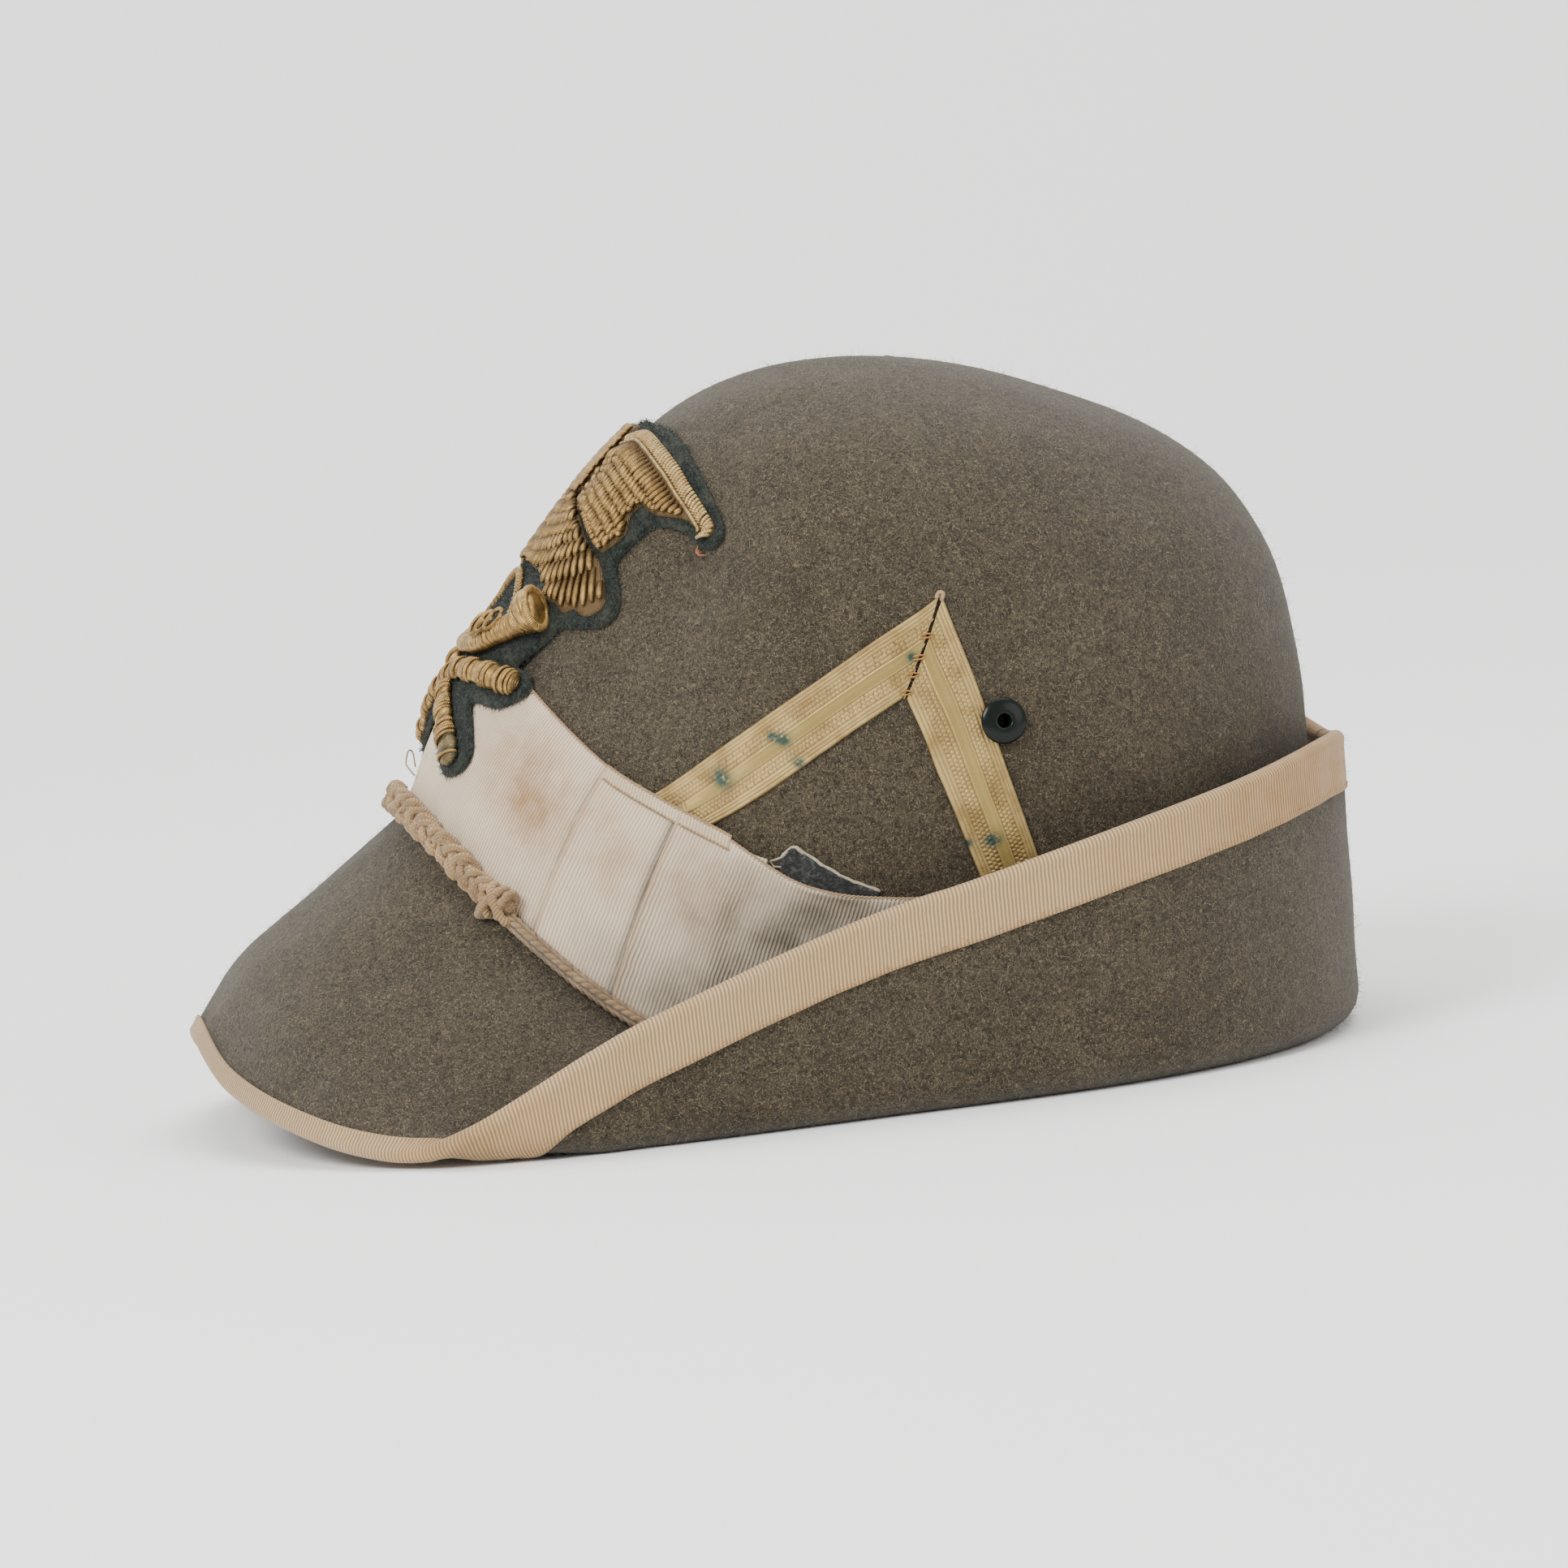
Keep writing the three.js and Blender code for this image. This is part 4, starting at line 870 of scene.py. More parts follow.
def stitch_tree():
    """Short threads laid one after another along a line."""
    tree, given, made = node_tree("stitches along a line", {
        "Pitch": ("NodeSocketFloat", 0.004), "Length": ("NodeSocketFloat", 0.002),
        "Thick": ("NodeSocketFloat", 0.0006), "Material": ("NodeSocketMaterial", None)})
    curve = linked(tree, "GeometryNodeMeshToCurve", Mesh=given.outputs["Geometry"])
    spaced = tree.nodes.new("GeometryNodeResampleCurve")
    spaced.mode = "LENGTH"
    tree.links.new(curve.outputs[0], spaced.inputs["Curve"])
    tree.links.new(given.outputs["Pitch"], spaced.inputs["Length"])
    ball = linked(tree, "GeometryNodeMeshIcoSphere", Radius=0.5, Subdivisions=2)
    size = tree.nodes.new("ShaderNodeCombineXYZ")
    for axis, label in zip("XYZ", ("Thick", "Thick", "Length")):
        tree.links.new(given.outputs[label], size.inputs[axis])
    tangent = tree.nodes.new("GeometryNodeInputTangent")
    turn = tree.nodes.new("FunctionNodeAlignRotationToVector")
    turn.axis = "Z"
    tree.links.new(tangent.outputs[0], turn.inputs["Vector"])
    wobble = tree.nodes.new("FunctionNodeRandomValue")
    wobble.data_type = "FLOAT_VECTOR"
    wobble.inputs["Min"].default_value = (-0.22, -0.22, -0.5)
    wobble.inputs["Max"].default_value = (0.22, 0.22, 0.5)
    wobble.inputs["Seed"].default_value = 7
    euler = tree.nodes.new("FunctionNodeEulerToRotation")
    tree.links.new(wobble.outputs["Value"], euler.inputs[0])
    both = tree.nodes.new("FunctionNodeRotateRotation")
    tree.links.new(turn.outputs[0], both.inputs[0])
    tree.links.new(euler.outputs[0], both.inputs[1])
    placed = linked(tree, "GeometryNodeInstanceOnPoints", Points=spaced.outputs[0],
                    Instance=ball.outputs[0], Rotation=both.outputs[0], Scale=size.outputs[0])
    real = linked(tree, "GeometryNodeRealizeInstances", Geometry=placed.outputs[0])
    dyed = linked(tree, "GeometryNodeSetMaterial", Geometry=real.outputs[0],
                  Material=given.outputs["Material"])
    tree.links.new(dyed.outputs[0], made.inputs[0])
    return tree


def pile_tree():
    """Single fibres that stand on a surface, each leaning its own way."""
    tree, given, made = node_tree("fibres on a surface", {
        "Density": ("NodeSocketFloat", 100000.0), "Length": ("NodeSocketFloat", 0.0012),
        "Thick": ("NodeSocketFloat", 0.00006), "Lean": ("NodeSocketFloat", 1.1),
        "Seed": ("NodeSocketInt", 3), "Material": ("NodeSocketMaterial", None)})
    spread = linked(tree, "GeometryNodeDistributePointsOnFaces", Mesh=given.outputs["Geometry"],
                    Density=given.outputs["Density"], Seed=given.outputs["Seed"])
    fibre = linked(tree, "GeometryNodeMeshCone", Vertices=3, Radius_Top=0.35, Radius_Bottom=1.0,
                   Depth=1.0)
    fibre.fill_type = "NONE"
    size = tree.nodes.new("ShaderNodeCombineXYZ")
    for axis, label in zip("XYZ", ("Thick", "Thick", "Length")):
        tree.links.new(given.outputs[label], size.inputs[axis])
    lean = tree.nodes.new("FunctionNodeRandomValue")
    lean.data_type = "FLOAT_VECTOR"
    low = linked(tree, "ShaderNodeMath", Value=given.outputs["Lean"])
    low.operation = "MULTIPLY"
    low.inputs[1].default_value = -1.0
    for socket, label in (("Min", low.outputs[0]), ("Max", given.outputs["Lean"])):
        join = tree.nodes.new("ShaderNodeCombineXYZ")
        tree.links.new(label, join.inputs["X"])
        tree.links.new(label, join.inputs["Y"])
        tree.links.new(join.outputs[0], lean.inputs[socket])
    tree.links.new(given.outputs["Seed"], lean.inputs["Seed"])
    euler = tree.nodes.new("FunctionNodeEulerToRotation")
    tree.links.new(lean.outputs["Value"], euler.inputs[0])
    both = tree.nodes.new("FunctionNodeRotateRotation")
    both.rotation_space = "LOCAL"
    tree.links.new(spread.outputs["Rotation"], both.inputs[0])
    tree.links.new(euler.outputs[0], both.inputs[1])
    placed = linked(tree, "GeometryNodeInstanceOnPoints", Points=spread.outputs[0],
                    Instance=fibre.outputs[0], Rotation=both.outputs[0], Scale=size.outputs[0])
    real = linked(tree, "GeometryNodeRealizeInstances", Geometry=placed.outputs[0])
    dyed = linked(tree, "GeometryNodeSetMaterial", Geometry=real.outputs[0],
                  Material=given.outputs["Material"])
    tree.links.new(dyed.outputs[0], made.inputs[0])
    return tree


TREES = {}


def from_nodes(name, maker, source, **settings):
    """Runs a tree on a source object and keeps the result as a plain mesh of its own."""
    if maker not in TREES:
        TREES[maker] = maker()
    tree = TREES[maker]
    modifier = source.modifiers.new("made", "NODES")
    modifier.node_group = tree
    for item in tree.interface.items_tree:
        if item.in_out == "INPUT" and item.name in settings:
            modifier[item.identifier] = settings[item.name]
    graph = bpy.context.evaluated_depsgraph_get()
    mesh = bpy.data.meshes.new_from_object(source.evaluated_get(graph), depsgraph=graph)
    source.modifiers.remove(modifier)
    mesh.name = name
    piece = bpy.data.objects.new(name, mesh)
    bpy.context.scene.collection.objects.link(piece)
    return piece


def stitches(name, path, pitch, length, thick, material):
    """Stitches along a path in millimetres."""
    mesh = bpy.data.meshes.new(name + "_line")
    mesh.from_pydata(to_frame(path).tolist(), [(i, i + 1) for i in range(len(path) - 1)], [])
    line = bpy.data.objects.new(name + "_line", mesh)
    bpy.context.scene.collection.objects.link(line)
    piece = from_nodes(name, stitch_tree, line, Pitch=pitch * MM, Length=length * MM,
                       Thick=thick * MM, Material=material)
    bpy.data.objects.remove(line)
    return piece


def keep(piece, slot, *nodes):
    """Rides a piece on the hat and hides the nodes that it stands for; its slot is not used."""
    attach(piece, "root")
    if nodes:
        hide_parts(*nodes)
    return piece


def wobble(points, size, seed, scale):
    """Points moved a little by smooth random waves, for cloth that isn't quite even."""
    draw = np.random.default_rng(seed)
    moved = points.copy()
    for _ in range(6):
        way = draw.normal(size=3)
        way = way / np.linalg.norm(way) * 2 * np.pi / (scale * draw.uniform(0.7, 1.6))
        phase = draw.uniform(0, 2 * np.pi)
        moved += draw.normal(size=3) * size / 3 * np.sin(points @ way + phase)[..., None]
    return moved


# The pieces.
ROUNDS = np.arange(0, 360, 1.0)
VENT = {"round": 97.8, "up": 76.4, "hole": 2.7}


class HAT_OT_felt(bpy.types.Operator):
    """Makes the crown and the brim, one sheet of felt"""

    bl_idname = "hat.felt"
    bl_label = "Felt"

    def execute(self, context):
        crown = np.r_[np.linspace(10.93, 8, 14), np.linspace(7.75, 0, 34)]
        middle = np.repeat(crown[None], len(ROUNDS), 0)
        parts = np.linspace(0, 1, 44)[1:]
        out = -brim_length(ROUNDS)[:, None] * parts[None]
        place = np.concatenate([middle, out], 1).T
        rounds = np.repeat(ROUNDS[None], len(place), 0)
        outer = felt_point(rounds, place)
        normal = felt_normal(rounds, place)
        inner = outer - normal * FELT
        inner[..., 2] = np.maximum(inner[..., 2], 0.0)
        uneven = wobble(outer, 0.22, 5, 26.0) - outer
        firm = np.clip(outer[..., 2:] / 12, 0, 1)
        outer, inner = outer + uneven * firm, inner + uneven * firm
        rows, columns = place.shape
        points = np.concatenate([outer.reshape(-1, 3), inner.reshape(-1, 3)])
        faces = grid_faces(rows, columns, True)
        under = [f[::-1] for f in grid_faces(rows, columns, True, rows * columns)]
        edge = (rows - 1) * columns
        rim = [[edge + j, edge + (j + 1) % columns, rows * columns + edge + (j + 1) % columns,
                rows * columns + edge + j] for j in range(columns)]
        top = crown_point(0.0, float(TOP))
        points = np.vstack([points, top, top - [0, 0, FELT]])
        tip = len(points) - 2
        caps = [[tip, j, (j + 1) % columns] for j in range(columns)]
        caps += [[tip + 1, rows * columns + (j + 1) % columns, rows * columns + j]
                 for j in range(columns)]
        all_faces = np.array(faces + under + rim)
        centre = points[all_faces].mean(1)
        keep_face = np.ones(len(all_faces), bool)
        for side in (1, -1):
            spot = on_crown(side * VENT["round"], VENT["up"], 0.0)
            keep_face &= np.linalg.norm(centre - spot, axis=1) > VENT["hole"]
        made = all_faces[keep_face].tolist() + caps
        piece = new_piece("felt", points, made, finish("felt"))
        bpy.context.view_layer.objects.active = piece
        face_outward(piece)
        keep(piece, "felt", "felt_body")
        fibres = from_nodes("felt_fibres", pile_tree, piece, Density=80000.0, Length=0.0023,
                            Thick=0.000042, Lean=1.42, Seed=11, Material=finish("fibre"))
        keep(fibres, "felt")
        return {"FINISHED"}


class HAT_OT_edge(bpy.types.Operator):
    """Makes the ribbon folded over the edge, with its stitches"""

    bl_idname = "hat.edge"
    bl_label = "Edge ribbon"

    def execute(self, context):
        sizes = context.scene.hat_sizes
        rounds = np.arange(180, 540, 0.6)
        length = brim_length(rounds)
        under, top, gap, thick = sizes.edge_under, sizes.edge_top, 0.12, 0.65
        edge = felt_point(rounds, -length)
        beyond = edge - felt_point(rounds, -(length - 2))
        beyond /= np.linalg.norm(beyond, axis=1, keepdims=True)
        normal = felt_normal(rounds, -length)
        rows, cut = [], []
        for part in np.linspace(1, 0, 14):
            place = -(length - under * part)
            off = -FELT - gap - 0.18 * max(0, 1 - part * 6)
            rows.append((off_felt(rounds, place, np.full(len(rounds), off)), under * part))
        for angle in np.linspace(0, np.pi, 9)[1:-1]:
            mid = edge - normal * FELT / 2
            reach = FELT / 2 + gap
            rows.append((mid - normal * reach * math.cos(angle)
                         + beyond[:, :] * reach * 0.8 * math.sin(angle),
                         -2.6 * angle / np.pi))
        for part in np.linspace(0, 1, 8):
            place = -(length - top * part)
            rows.append((off_felt(rounds, place, np.full(len(rounds), gap)), -2.6 - top * part))
        inner = np.array([r[0] for r in rows])
        across = np.array([r[1] for r in rows])
        run = np.r_[0, np.cumsum(np.linalg.norm(np.diff(edge, axis=0), axis=1))]
        normals = np.gradient(inner, axis=0)
        side = np.roll(inner, -1, axis=1) - np.roll(inner, 1, axis=1)
        outward_way = np.cross(side, normals)
        outward_way /= np.linalg.norm(outward_way, axis=2, keepdims=True) + 1e-9
        away = inner - (edge - normal * FELT / 2)[None] + normal[None] * 0
        sign = np.sign(np.einsum("ijk,ijk->ij", outward_way, away)[len(inner) // 2].mean())
        selvage = np.exp(-((across - under + 0.5) / 0.5) ** 2)
        selvage += np.exp(-((across + 2.6 + top - 0.5) / 0.5) ** 2)
        raised = thick + 0.25 * selvage[:, None, None]
        outer = inner + sign * outward_way * raised
        pucker = 0.16 * np.sin(run / 3.1 + np.sin(run / 17.0) * 2)[None, :, None]
        outer = outer + sign * outward_way * pucker * (across > 2)[:, None, None]
        for grid in (outer, inner):
            grid[..., 2] = np.maximum(grid[..., 2], 0.05)
        uv = np.stack(np.broadcast_arrays(run[None, :], across[:, None]), -1)
        angle = np.abs((rounds + 180) % 360 - 180)[None] + 0 * across[:, None]
        stain = 0.75 * soft_step(angle, 100, 155) + 0.45 * np.exp(-((angle - 41) / 7) ** 2)
        stain += 0.3 * soft_step(across[:, None], under - 2.5, under)
        # Darker toward the front and in a narrow band at the corner near 43 degrees.
        darkening = 0.25 * soft_step(46 - angle, 0, 30) + 0.3 * np.exp(-((angle - 43) / 3) ** 2)
        rubbed = 0.85 * np.exp(-((across - under + 0.35) / 0.4) ** 2)[:, None] + 0 * angle
        marks = np.stack([stain, darkening, rubbed], -1)
        piece = sheet_piece("edge_ribbon", outer, inner, finish("edge"), uv, wrap=True,
                            marked=marks)
        keep(piece, "edge_ribbon", "brim_binding")
        seam = off_felt(rounds, -(length - under + 1.1), np.full(len(rounds), -FELT - 0.75))
        sewn = stitches("edge_stitches", seam, 4.6, 2.1, 0.42, finish("thread"))
        keep(sewn, "edge_ribbon")
        seam = off_felt(rounds, -(length - top + 0.8), np.full(len(rounds), 0.75))
        sewn = stitches("edge_stitches_top", seam, 5.2, 1.5, 0.4, finish("thread"))
        keep(sewn, "edge_ribbon")
        return {"FINISHED"}


def on_ribbon(rounds, up, off):
    """A point off the felt at a height on the crown, or below 0 so far out on the brim."""
    up = np.asarray(up, float)
    place = np.where(up > 0, section_at(rounds, np.maximum(up, 0)), up)
    return off_felt(rounds, place, off)


def soft_step(value, low, high):
    """0 below low, 1 above high, smooth between."""
    t = np.clip((np.asarray(value, float) - low) / (high - low), 0, 1)
    return t * t * (3 - 2 * t)


FOLD_FRONT = (37.9, 42.8)
FOLD_BACK = (50.6, 55.8)


def fold_line(fold, up):
    """Where a pleat's fold runs, by height."""
    return fold[0] + (fold[1] - fold[0]) * np.asarray(up, float) / 44


def band_marks(where, up, layer):
    """The band's stain, its darkening (dirt, with painted shadow beside the pleats' folds and along
    their foot) and its rubbed edges.
    """
    angle = (np.asarray(where, float) + 180) % 360 - 180
    stain = 0.85 * np.exp(-((angle - 31.5) / 10.5) ** 2 - ((up - 24) / 14) ** 2)
    stain += 0.4 * np.exp(-((angle - 47) / 5) ** 2 - ((up - 30) / 12) ** 2)
    stain += 0.55 * np.exp(-((angle - 61) / 6) ** 2 - ((up - 33) / 9) ** 2)
    # Darker from the pleats toward the back, most on the band's lower part.
    grime_and_shade = 1.05 * soft_step(angle, 47, 76) * soft_step(38 - up, -14, 8)
    # Painted shadow along the foot of the pleats and of the band behind them.
    grime_and_shade += 0.5 * soft_step(angle, 40, 50) * soft_step(16 - up, -4, 14)
    # A little darker toward the rear.
    grime_and_shade = grime_and_shade + 0.25 * soft_step(np.abs(angle), 90, 120)
    rubbed = np.zeros(np.shape(angle))
    for fold, over in ((FOLD_FRONT, 1), (FOLD_BACK, 2)):
        away = angle - fold_line(fold, up)
        if layer == over:
            rubbed += 0.7 * np.exp(-((away - 0.25) / 0.3) ** 2)
        elif layer < over:
            # Painted shadow cast by the upper layer onto the layer below, just in front of each fold.
            grime_and_shade += (0.75, 1.1)[over - 1] * np.exp(-((away + 0.1) / (0.45, 0.9)[over - 1]) ** 2)
    return np.stack([stain, grime_and_shade, rubbed], -1)


class HAT_OT_band(bpy.types.Operator):
    """Makes the ribbed ribbon round the crown, its two pleats and its doubled top edge"""

    bl_idname = "hat.band"
    bl_label = "Band"

    def execute(self, context):
        rounds = np.arange(180, 540, 0.75)
        angle = (rounds + 180) % 360 - 180
        high = around(BAND_TOP, rounds)[..., 1]
        low = BAND_FOOT - 3.2 * soft_step(76 - np.abs(angle), 0, 16)
        parts = np.linspace(0, 1, 38)
        where = np.repeat(rounds[None], len(parts), 0)
        up = low[None] + (high - low)[None] * parts[:, None]
        roll = np.exp(-((angle - 75) / 9.5) ** 2)[None] * soft_step(parts, 0.76, 1)[:, None]
        buckle = 3.0 * roll * (1 + 0.25 * np.sin(np.radians(where) * 46))
        ridge = np.exp(-((parts - 0.66) / 0.07) ** 2)[:, None]
        buckle += 1.3 * ridge * np.exp(-((angle - 76) / 10) ** 2)[None]
        creases = np.exp(-((angle - 76) / 13) ** 2)[None] * soft_step(parts, 0.15, 0.6)[:, None]
        buckle += 0.55 * creases * (1 + np.sin(np.radians(where) * 30 - up / 3.2))
        buckle += 0.1 * (1 + np.sin(np.radians(where) * 17 + up / 8))
        off = 0.35 + np.maximum(stand_off(where, up), 0) + buckle
        up = up - 2.4 * roll * soft_step(parts, 0.88, 1)[:, None]
        thin = 0.55 + 0.45 * soft_step(up, -2.6, -1.6)
        inner = on_ribbon(where, up, off)
        outer = on_ribbon(where, up, off + RIBBON * thin)
        run = np.radians(where) * 82
        uv = np.stack([run - 0.2 * up, up], -1)
        piece = sheet_piece("band", outer, inner, finish("band"), uv, wrap=True,
                            marked=band_marks(where, up, 0))
        keep(piece, "band_ribbon", "hat_band")
        self.pleat("pleat_front", "band_pleat_front", FOLD_FRONT, (62.5, 63.4), 43.3, 46.8, 1.1, 1)
        self.pleat("pleat_back", "band_pleat_back", FOLD_BACK, (68.0, 69.0), 46.6, 45.4, 1.75, 2)
        self.strip()
        self.twist("band_selvage", inner[-1], outer[-1], np.arange(len(rounds)))
        return {"FINISHED"}

    def pleat(self, name, node, first, last, high_first, high_last, base, layer):
        across = np.r_[np.linspace(0, 0.1, 8)[:-1], np.linspace(0.1, 1, 44)]
        parts = np.linspace(0, 1, 40)
        t, w = np.meshgrid(parts, across, indexing="ij")
        low = -1.8
        high = high_first + (high_last - high_first) * w
        up = low + (high - low) * t
        foot = fold_line(first, up)
        where = foot + (fold_line(last, up) - foot) * w
        edge = np.exp(-(w / 0.035) ** 2)
        lie = (0.35 + 0.35 * layer) * np.exp(-(w / 0.09) ** 2) * (0.7 + 0.3 * np.sin(t * 5))
        lie += 0.16 * (1 + np.sin(t * 8 + w * 6))
        hold = 1 - soft_step(w, 0.6, 1.0)
        off = 0.35 + (base - 0.35 + lie) * hold + stand_off(where, up)
        inner = on_ribbon(where, up, off)
        outer = on_ribbon(where, up, off + 0.5 * (0.4 + 0.6 * hold) + 0.2 * edge)
        uv = np.stack([np.radians(where) * 82 - 0.2 * up, up], -1)
        piece = sheet_piece(name, outer, inner, finish("band"), uv,
                            marked=band_marks(where, up, layer))
        keep(piece, "band_ribbon", node)

    def strip(self):
        """The second layer along the top edge, over the pleats."""
        rounds = np.linspace(43.0, 63.9, 70)
        high = around(BAND_TOP, rounds)[..., 1]
        parts = np.linspace(0, 1, 9)
        where = np.repeat(rounds[None], len(parts), 0)
        up = high[None] - 2.6 + 2.9 * parts[:, None]
        over = 1.75 + 0.75 * soft_step(where, 53.5, 56.5) - 0.5 * soft_step(where, 60, 63)
        inner = on_ribbon(where, up, over + stand_off(where, up))
        outer = on_ribbon(where, up, over + stand_off(where, up) + 0.6)
        uv = np.stack([np.radians(where) * 82, up], -1)
        marks = band_marks(where, up, 3)
        marks[..., 2] += 0.35
        piece = sheet_piece("band_strip", outer, inner, finish("band"), uv, marked=marks)
        keep(piece, "band_ribbon")
        for row, name in ((-1, "strip_edge_top"), (0, "strip_edge_low")):
            self.twist(name, inner[row], outer[row], np.arange(len(rounds)))

    def twist(self, name, inner, outer, order):
        """The twisted thread of a woven edge."""
        middle = (inner + outer)[order] / 2
        step = resampled((middle, outer[order] - inner[order]), middle, 0.45)
        path, out = step
        out = out / np.linalg.norm(out, axis=1, keepdims=True)
        way = np.gradient(path, axis=0)
        side = np.cross(way, out)
        side /= np.linalg.norm(side, axis=1, keepdims=True)
        run = np.arange(len(path)) * 0.45
        made = Bundle()
        for k in range(2):
            turn = 2 * np.pi * (run / 2.1 + k / 2)
            made.tube(path + side * (0.24 * np.cos(turn))[:, None]
                      + out * (0.24 * np.sin(turn))[:, None], 0.27, 5)
        keep(made.piece(name, finish("edge_thread")), "band_ribbon")


def cord_middle(rounds, deep, wide):
    """The middle of a cord that lies in the corner between the band and the brim."""
    rounds = np.asarray(rounds, float)
    off = 0.45 + RIBBON + 0.3 + deep
    head = felt_normal(rounds, np.full(len(rounds), 0.02))
    base = felt_point(rounds, np.zeros(len(rounds))) + head * off
    upward = crown_point(rounds, 0.3) - crown_point(rounds, 0.0)
    upward /= np.linalg.norm(upward, axis=1, keepdims=True)
    best = np.full(len(rounds), -4.0)
    for up in np.arange(5, -4.01, -0.1):
        here = base + upward * up
        near = np.full(len(rounds), np.inf)
        for s in range(1, 14):
            away = here - brim_point(rounds, np.full(len(rounds), float(s)))
            near = np.minimum(near, np.einsum("ij,ij->i", away,
                                              felt_normal(rounds, np.full(len(rounds), -float(s)))))
        stop = (near < wide + 0.7) & (best == -4.0)
        best[stop] = up + 0.1
    return base + upward * best[:, None], head, upward


def braided(name, middle, out, up, deep, wide, columns, pitch, sides):
    """A round braid: slanting grains in columns that lean left and right in turn."""
    run = np.r_[0, np.cumsum(np.linalg.norm(np.diff(middle, axis=0), axis=1))]
    turn = 2 * np.pi * np.arange(sides) / sides
    column = np.arange(sides) / sides * columns
    within = column - np.floor(column)
    slant = np.where(np.floor(column) % 2 > 0.5, within, 1 - within)
    grain = run[:, None] / pitch + slant[None] * 1.1
    swell = np.abs(np.sin(np.pi * grain)) ** 0.7 * (0.25 + 0.75 * np.sin(np.pi * within) ** 0.5)
    reach = 1 - 0.3 * (1 - swell)
    points = (middle[:, None] + out[:, None] * (np.cos(turn)[None] * deep * reach)[..., None]
              + up[:, None] * (np.sin(turn)[None] * wide * reach)[..., None])
    uv = np.stack(np.broadcast_arrays(run[:, None], turn[None] * wide), -1)
    marked = np.zeros(points.shape)
    # Second mark: painted shade where the braid dips between its grains.
    marked[..., 1] = np.clip(1.15 - 1.9 * swell, 0, 1)
    rows = len(run)
    faces = grid_faces(rows, sides, True)
    faces.append(list(range(sides)))
    faces.append([(rows - 1) * sides + j for j in range(sides)][::-1])
    piece = new_piece(name, points, faces, finish("cord"), uv, marked=marked)
    face_outward(piece)
    return piece


def resampled(values, path, step):
    """Points a step apart along a path, with other rows of values carried along."""
    along = np.r_[0, np.cumsum(np.linalg.norm(np.diff(path, axis=0), axis=1))]
    at = np.linspace(0, along[-1], int(along[-1] / step) + 1)
    return [np.stack([np.interp(at, along, v[:, k]) for k in range(3)], -1) for v in values]


class HAT_OT_cord(bpy.types.Operator):
    """Makes the braided cord, the plait across the front and the knots"""

    bl_idname = "hat.cord"
    bl_label = "Cord"

    def execute(self, context):
        rounds = np.linspace(33.6, 360 - 33.6, 240)
        middle, out, up = cord_middle(rounds, 2.15, 2.15)
        middle, out, up = resampled((middle, out, up), middle, 0.5)
        keep(braided("thin_cord", middle, out, up, 2.2, 2.25, 6, 2.3, 30), "cord_cotton", "cord")
        rounds = np.linspace(-30.5, 30.5, 90)
        middle, out, up = cord_middle(rounds, 2.9, 3.5)
        middle, out, up = resampled((middle, out, up), middle, 0.55)
        along = np.r_[0, np.cumsum(np.linalg.norm(np.diff(middle, axis=0), axis=1))]
        plait = Bundle()
        for k in range(3):
            phase = 2 * np.pi * (along / 13.5 + k / 3)
            path = (middle + up * (2.2 * np.sin(phase))[:, None]
                    + out * (1.15 * np.sin(2 * phase))[:, None])
            path = wobble(path, 0.22, 21 + k, 9.0)
            way = np.gradient(path, axis=0)
            way /= np.linalg.norm(way, axis=1, keepdims=True)
            side = np.cross(way, out)
            side /= np.linalg.norm(side, axis=1, keepdims=True)
            lift = np.cross(side, way)
            for m in range(2):
                twist = 2 * np.pi * (along / 11 + m / 2) + 0.6 * k
                plait.tube(path + side * (0.8 * np.cos(twist))[:, None]
                           + lift * (0.5 * np.sin(twist))[:, None],
                           0.92 + 0.13 * np.sin(along * 2.6 + m * 2), 9)
        keep(plait.piece("front_plait", finish("cord")), "cord_cotton", "cord_plait")
        for side, node in ((1, "cord_knot_left"), (-1, "cord_knot_right")):
            self.knot(side, node)
        return {"FINISHED"}

    def knot(self, side, node):
        """Two crossing turns of cord round the place where the plait is tied off."""
        spot = np.array([side * 32.3])
        middle, out, up = (v[0] for v in cord_middle(spot, 3.4, 4.0))
        along = np.cross(up, out)
        made = Bundle()
        turns = np.linspace(0.3, 2 * np.pi + 0.3, 34)
        for shift, tilt, reach in ((-1.2, 2.9, 1.0), (1.1, -2.9, 1.08), (2.6, 1.2, 0.82),
                                   (-2.6, -1.0, 0.85)):
            path = (middle + along * shift
                    + out * (np.cos(turns) * 2.6 * reach)[:, None]
                    + up * (np.sin(turns) * 3.5 * reach)[:, None]
                    + along * (tilt * np.sin(turns))[:, None])
            made.tube(path, 1.12 + 0.14 * np.sin(turns * 9), 10)
        made.tube([middle - along * 3.4, middle, middle + along * 3.4], 1.9, 10)
        keep(made.piece("knot_" + ("left" if side > 0 else "right"), finish("cord")),
             "cord_cotton", node)


# The badge.
CLOTH_OUTLINE = [
    [0, 102], [12, 103], [25, 100.8], [38.2, 94], [49.5, 87.2], [55.2, 83.4], [57.7, 80.2],
    [56.3, 77.3], [51.7, 76.9], [46.8, 78.7], [38.9, 77.8], [36.5, 72.5], [36.2, 66.9],
    [41.5, 61.7], [44.8, 57.1], [44, 53.2], [39.1, 51.2], [34, 49.5], [32.3, 45.6],
    [30.7, 41.4], [29.7, 38], [34.7, 37.5], [37.6, 34.4], [34.5, 30.3], [29.7, 27.5],
    [20.7, 25.6], [25.7, 21.4], [30.2, 17.1], [29.6, 13], [24.7, 9.3], [19.5, 9.8],
    [10, 15.5], [0, 19.5],
]
WING_EDGE = [
    [4.6, 97.5], [12, 99.8], [21.2, 98.2], [32.7, 93.8], [42, 88.8], [50, 84.7], [54.4, 82.2],
    [55, 79.8],
]
WING_REAR = [
    [5.2, 81.6], [18, 75], [29.6, 68.6], [32, 69.3], [33.8, 74], [31.6, 78.2], [32.4, 81.7],
    [37.4, 80.4], [45.4, 81.3], [51.6, 79.8],
]
